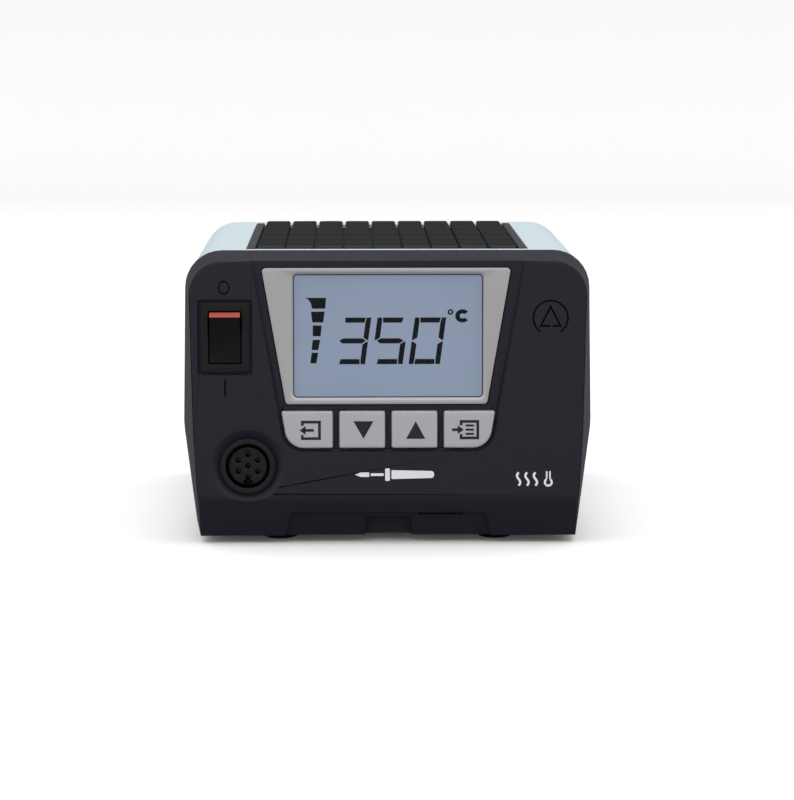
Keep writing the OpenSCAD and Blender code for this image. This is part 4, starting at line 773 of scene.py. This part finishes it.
def bored_pin(cx, cv):
    """A turned contact with a blind bore in its front: a profile of radius and depth
    carried round its axis."""
    profile = [
        (CONTACT_R - 0.2, CONTACT_BACK), (CONTACT_R, CONTACT_BACK + 0.2),
        (CONTACT_R, CONTACT_FRONT - 0.1), (CONTACT_R - 0.1, CONTACT_FRONT),
        (BORE_R + 0.05, CONTACT_FRONT), (BORE_R, CONTACT_FRONT - 0.1),
        (BORE_R, CONTACT_FRONT - BORE_DEPTH),
    ]
    t = np.linspace(0, 2 * math.pi, 24, endpoint=False)[None, :]
    r, h = np.array(profile).T[:, :, None]
    points = np.stack([cx + r * np.cos(t), cv + r * np.sin(t), h + 0 * t], -1)
    n, last = t.size, (len(profile) - 1) * t.size
    faces = grid_faces(len(profile), n).tolist()
    return points.reshape(-1, 3), faces + [list(range(n))[::-1], list(range(last, last + n))]


places = [(SOCKET_X, SOCKET_V)] + [
    (SOCKET_X + CONTACT_CIRCLE * math.cos(a), SOCKET_V + CONTACT_CIRCLE * math.sin(a))
    for a in np.radians(30 + 60 * np.arange(6))
]
place_piece("contact_sleeves", [bored_pin(*p) for p in places], gold, "socket_contacts", on_panel)
show(nodes["socket_nut"], nickel)


# ---------------------------------------------------------------------------
# Marks on the face: the off sign above the switch, the on sign below it, a
# small sign at the upper right and two white pictograms under the keys, all
# printed in a thin film of ink.
# ---------------------------------------------------------------------------
face_ink = moulded("face_ink", (0.0015, 0.0014, 0.002), 0.6, 0.3 * MM, 0.004 * MM, gloss=0.03)
white_ink = moulded("white_ink", (0.95, 0.95, 0.96), 0.45, 0.3 * MM, 0.004 * MM, 0.02)
FACE_INK = (-0.02, 0.03)
face_signs = [
    stroke([(-54.2, 34.2), (-54.2, 39.4)], 0.55),
    arc_band(54.0, 59.9, 6.0, 5.45, -55, 235, 48),
    stroke([(54.0, 57.2), (50.7, 57.2), (54.0, 63.6), (57.3, 57.2), (54.6, 57.2)], 0.6),
]
face_solids = [printed(p, *FACE_INK) for p in face_signs]
face_solids.append(printed_ring(-54.45, 70.1, 2.35, 1.85, *FACE_INK, squash=0.8))
place_piece("face_signs", face_solids, face_ink, "front_bezel", on_panel, replaces=False)
IRON_V = 7.8
tip = [(-11.2, 0.0), (-9.2, 0.75), (-6.4, 0.75), (-6.4, -0.75), (-9.2, -0.75)]
shank = [(-5.9, 0.45), (-1.6, 0.45), (-1.6, -0.45), (-5.9, -0.45)]
collar = rounded([(-1.1, -2.1), (0.5, -2.1), (0.5, 2.1), (-1.1, 2.1)], 0.4)
handle = rounded([(1.0, -1.5), (15.2, -1.15), (15.2, 1.15), (1.0, 1.5)], [0.4, 1.0, 1.0, 0.4])
iron = [np.asarray(p) + (0.0, IRON_V) for p in (tip, shank, collar, handle)]
WAVE_LOW, WAVE_H, WAVE_SWING = 4.0, 4.4, 0.55
rise = np.linspace(0, 1, 14)
sway = WAVE_SWING * np.sin(2 * math.pi * rise)
heat = [stroke(np.c_[x + sway, WAVE_LOW + WAVE_H * rise], 0.75) for x in (43.4, 46.2, 49.0)]
bulb = arc_band(53.3, 5.1, 1.5, 0.8, 118, 422, 30)
tube = [stroke([(x, 6.2), (x, 8.8)], 0.5) for x in (52.75, 53.85)]
face_pictograms = [printed(p, *FACE_INK) for p in [*iron, *heat, bulb, *tube]]
place_piece("face_pictograms", face_pictograms, white_ink, "front_bezel", on_panel, replaces=False)


# ---------------------------------------------------------------------------
# Base tray and feet: a tray moulded in black plastic closes the housing from
# below, and four soft rubber feet are pushed through its floor.
# ---------------------------------------------------------------------------
tray_plastic = moulded("tray_plastic", (0.014, 0.014, 0.016), 0.6, 0.7 * MM, 0.03 * MM)
softened("base_tray", 0.3 * MM, "base_tray_moulding", tray_plastic)
show(nodes["rubber_feet"], rubber("foot_rubber", (0.012, 0.012, 0.012)))


# ---------------------------------------------------------------------------
# Back panel: powder coated sheet with vents, held by four screws, carrying
# the mains inlet with its fuse drawer and the bonding socket.
# ---------------------------------------------------------------------------
back_paint = painted("back_paint", (0.035, 0.037, 0.04), 0.5, 0.7 * MM)
softened("rear_panel", 0.18 * MM, "back_panel_sheet", back_paint)
inlet_nylon = moulded("inlet_nylon", (0.012, 0.012, 0.013), 0.4, 0.4 * MM, 0.008 * MM, 0.06, 0.25)
softened("mains_inlet", 0.3 * MM, "mains_inlet_body", inlet_nylon)
softened("fuse_drawer", 0.25 * MM, "fuse_drawer_body", inlet_nylon)
zinc = metal("zinc_plating", (0.58, 0.59, 0.61), 0.38, 0.5 * MM)
tinned = metal("tinned_brass", (0.66, 0.62, 0.52), 0.35)
for name in ("bezel_screws", "rear_screws", "inlet_screws", "display_board_screws", "board_screws",
             "bracket_screws", "toroid_plate", "toroid_bolt", "toroid_nut"):
    show(nodes[name], zinc)
for name in ("inlet_pins", "switch_terminals", "earth_stud", "board_standoffs"):
    show(nodes[name], tinned)
for name in ("bonding_socket", "bonding_nut"):
    show(nodes[name], nickel)
fuse_glass = Finish("fuse_glass", (0.85, 0.88, 0.9), 0.12, Alpha=0.45)
fuse_glass.wash((0.85, 0.88, 0.9), 0.05, 3 * MM)
fuse_glass.set("Roughness", fuse_glass.noise(3 * MM) * 0.1 + 0.08)
show(nodes["fuses"], fuse_glass)


# ---------------------------------------------------------------------------
# Transformer: a ring core wound with copper and wrapped in yellow tape, held
# between two rubber pads by a plate, a bolt from below and a nut.
# ---------------------------------------------------------------------------
toroid_low, toroid_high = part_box("toroid_winding")
tape = Finish("winding_tape", (0.5, 0.33, 0.08), 0.4)
centred = tape.node(
    "ShaderNodeMapping", {"Vector": tape.place, "Location": tuple(-(toroid_low + toroid_high) / 2)}
)
ring_x, ring_y, ring_z = tape.split(centred)
angle = tape.node("ShaderNodeMath", {0: ring_y, 1: ring_x}, operation="ARCTAN2")
laps = tape.node("ShaderNodeMath", {0: angle * 36.0 + ring_z * 300.0}, operation="SINE")
tape.set("Base Color", tape.blend(laps.clear_of(-1.0, 1.0), (0.42, 0.26, 0.05), (0.62, 0.44, 0.12)))
tape.bump(laps, 0.06 * MM)
show(nodes["toroid_winding"], tape)
show(nodes["toroid_pads"], rubber("pad_rubber", (0.02, 0.02, 0.02)))


# ---------------------------------------------------------------------------
# Boards: green glass-fibre boards with tinned tracks, on a bent aluminium
# bracket, with the parts soldered on them.
# ---------------------------------------------------------------------------
board = Finish("board_green", (0.02, 0.13, 0.05), 0.35)
stretched = board.node(
    "ShaderNodeVectorMath", {0: board.place, 1: (1.0, 1.0, 0.7)}, operation="MULTIPLY"
)
tracks = board.node(
    "ShaderNodeTexBrick", {"Vector": stretched, "Scale": 160.0, "Mortar Size": 0.06}, out=1
)
board.set("Base Color", board.blend(tracks, (0.015, 0.12, 0.045), (0.05, 0.22, 0.09)))
board.bump(tracks, 0.03 * MM)
for name in ("display_board", "main_board"):
    show(nodes[name], board)
alloy = metal("bracket_alloy", (0.62, 0.63, 0.65), 0.4, 0.3 * MM, (1.0, 12.0, 1.0))
for name in ("board_bracket", "heat_sink"):
    show(nodes[name], alloy)
chip = moulded("chip_epoxy", (0.014, 0.014, 0.015), 0.55, 0.2 * MM, 0.006 * MM)
for name in ("display_chips", "main_chips", "power_triacs", "key_switches"):
    show(nodes[name], chip)
sleeve = moulded("capacitor_sleeve", (0.02, 0.035, 0.11), 0.3, 1.5 * MM, 0.01 * MM, 0.12)
show(nodes["filter_capacitors"], sleeve)
show(nodes["board_connectors"], moulded("header_nylon", (0.7, 0.69, 0.62), 0.45, 0.4 * MM, 0.01 * MM))


# ---------------------------------------------------------------------------
# Leads: stranded copper in coloured insulation, all inside the housing, and
# a grey flat cable from the display board to the mains board.
# ---------------------------------------------------------------------------
for name, colour in (
    ("live_lead", (0.13, 0.05, 0.02)), ("neutral_lead", (0.03, 0.08, 0.35)),
    ("switched_leads", (0.02, 0.02, 0.022)), ("transformer_leads", (0.6, 0.45, 0.06)),
    ("tool_leads", (0.025, 0.025, 0.03)), ("ribbon_cable", (0.28, 0.28, 0.3)),
):
    show(nodes[name], moulded(name + "_insulation", colour, 0.4, 2 * MM, 0.02 * MM, 0.12))
stripe = Finish("earth_insulation", (0.05, 0.3, 0.06), 0.4)
along = stripe.node("ShaderNodeMath", {0: stripe.split(stripe.place)[0] * 900.0}, operation="SINE")
stripe.set("Base Color", stripe.blend(along > 0.3, (0.05, 0.3, 0.06), (0.7, 0.6, 0.05)))
show(nodes["earth_lead"], stripe)
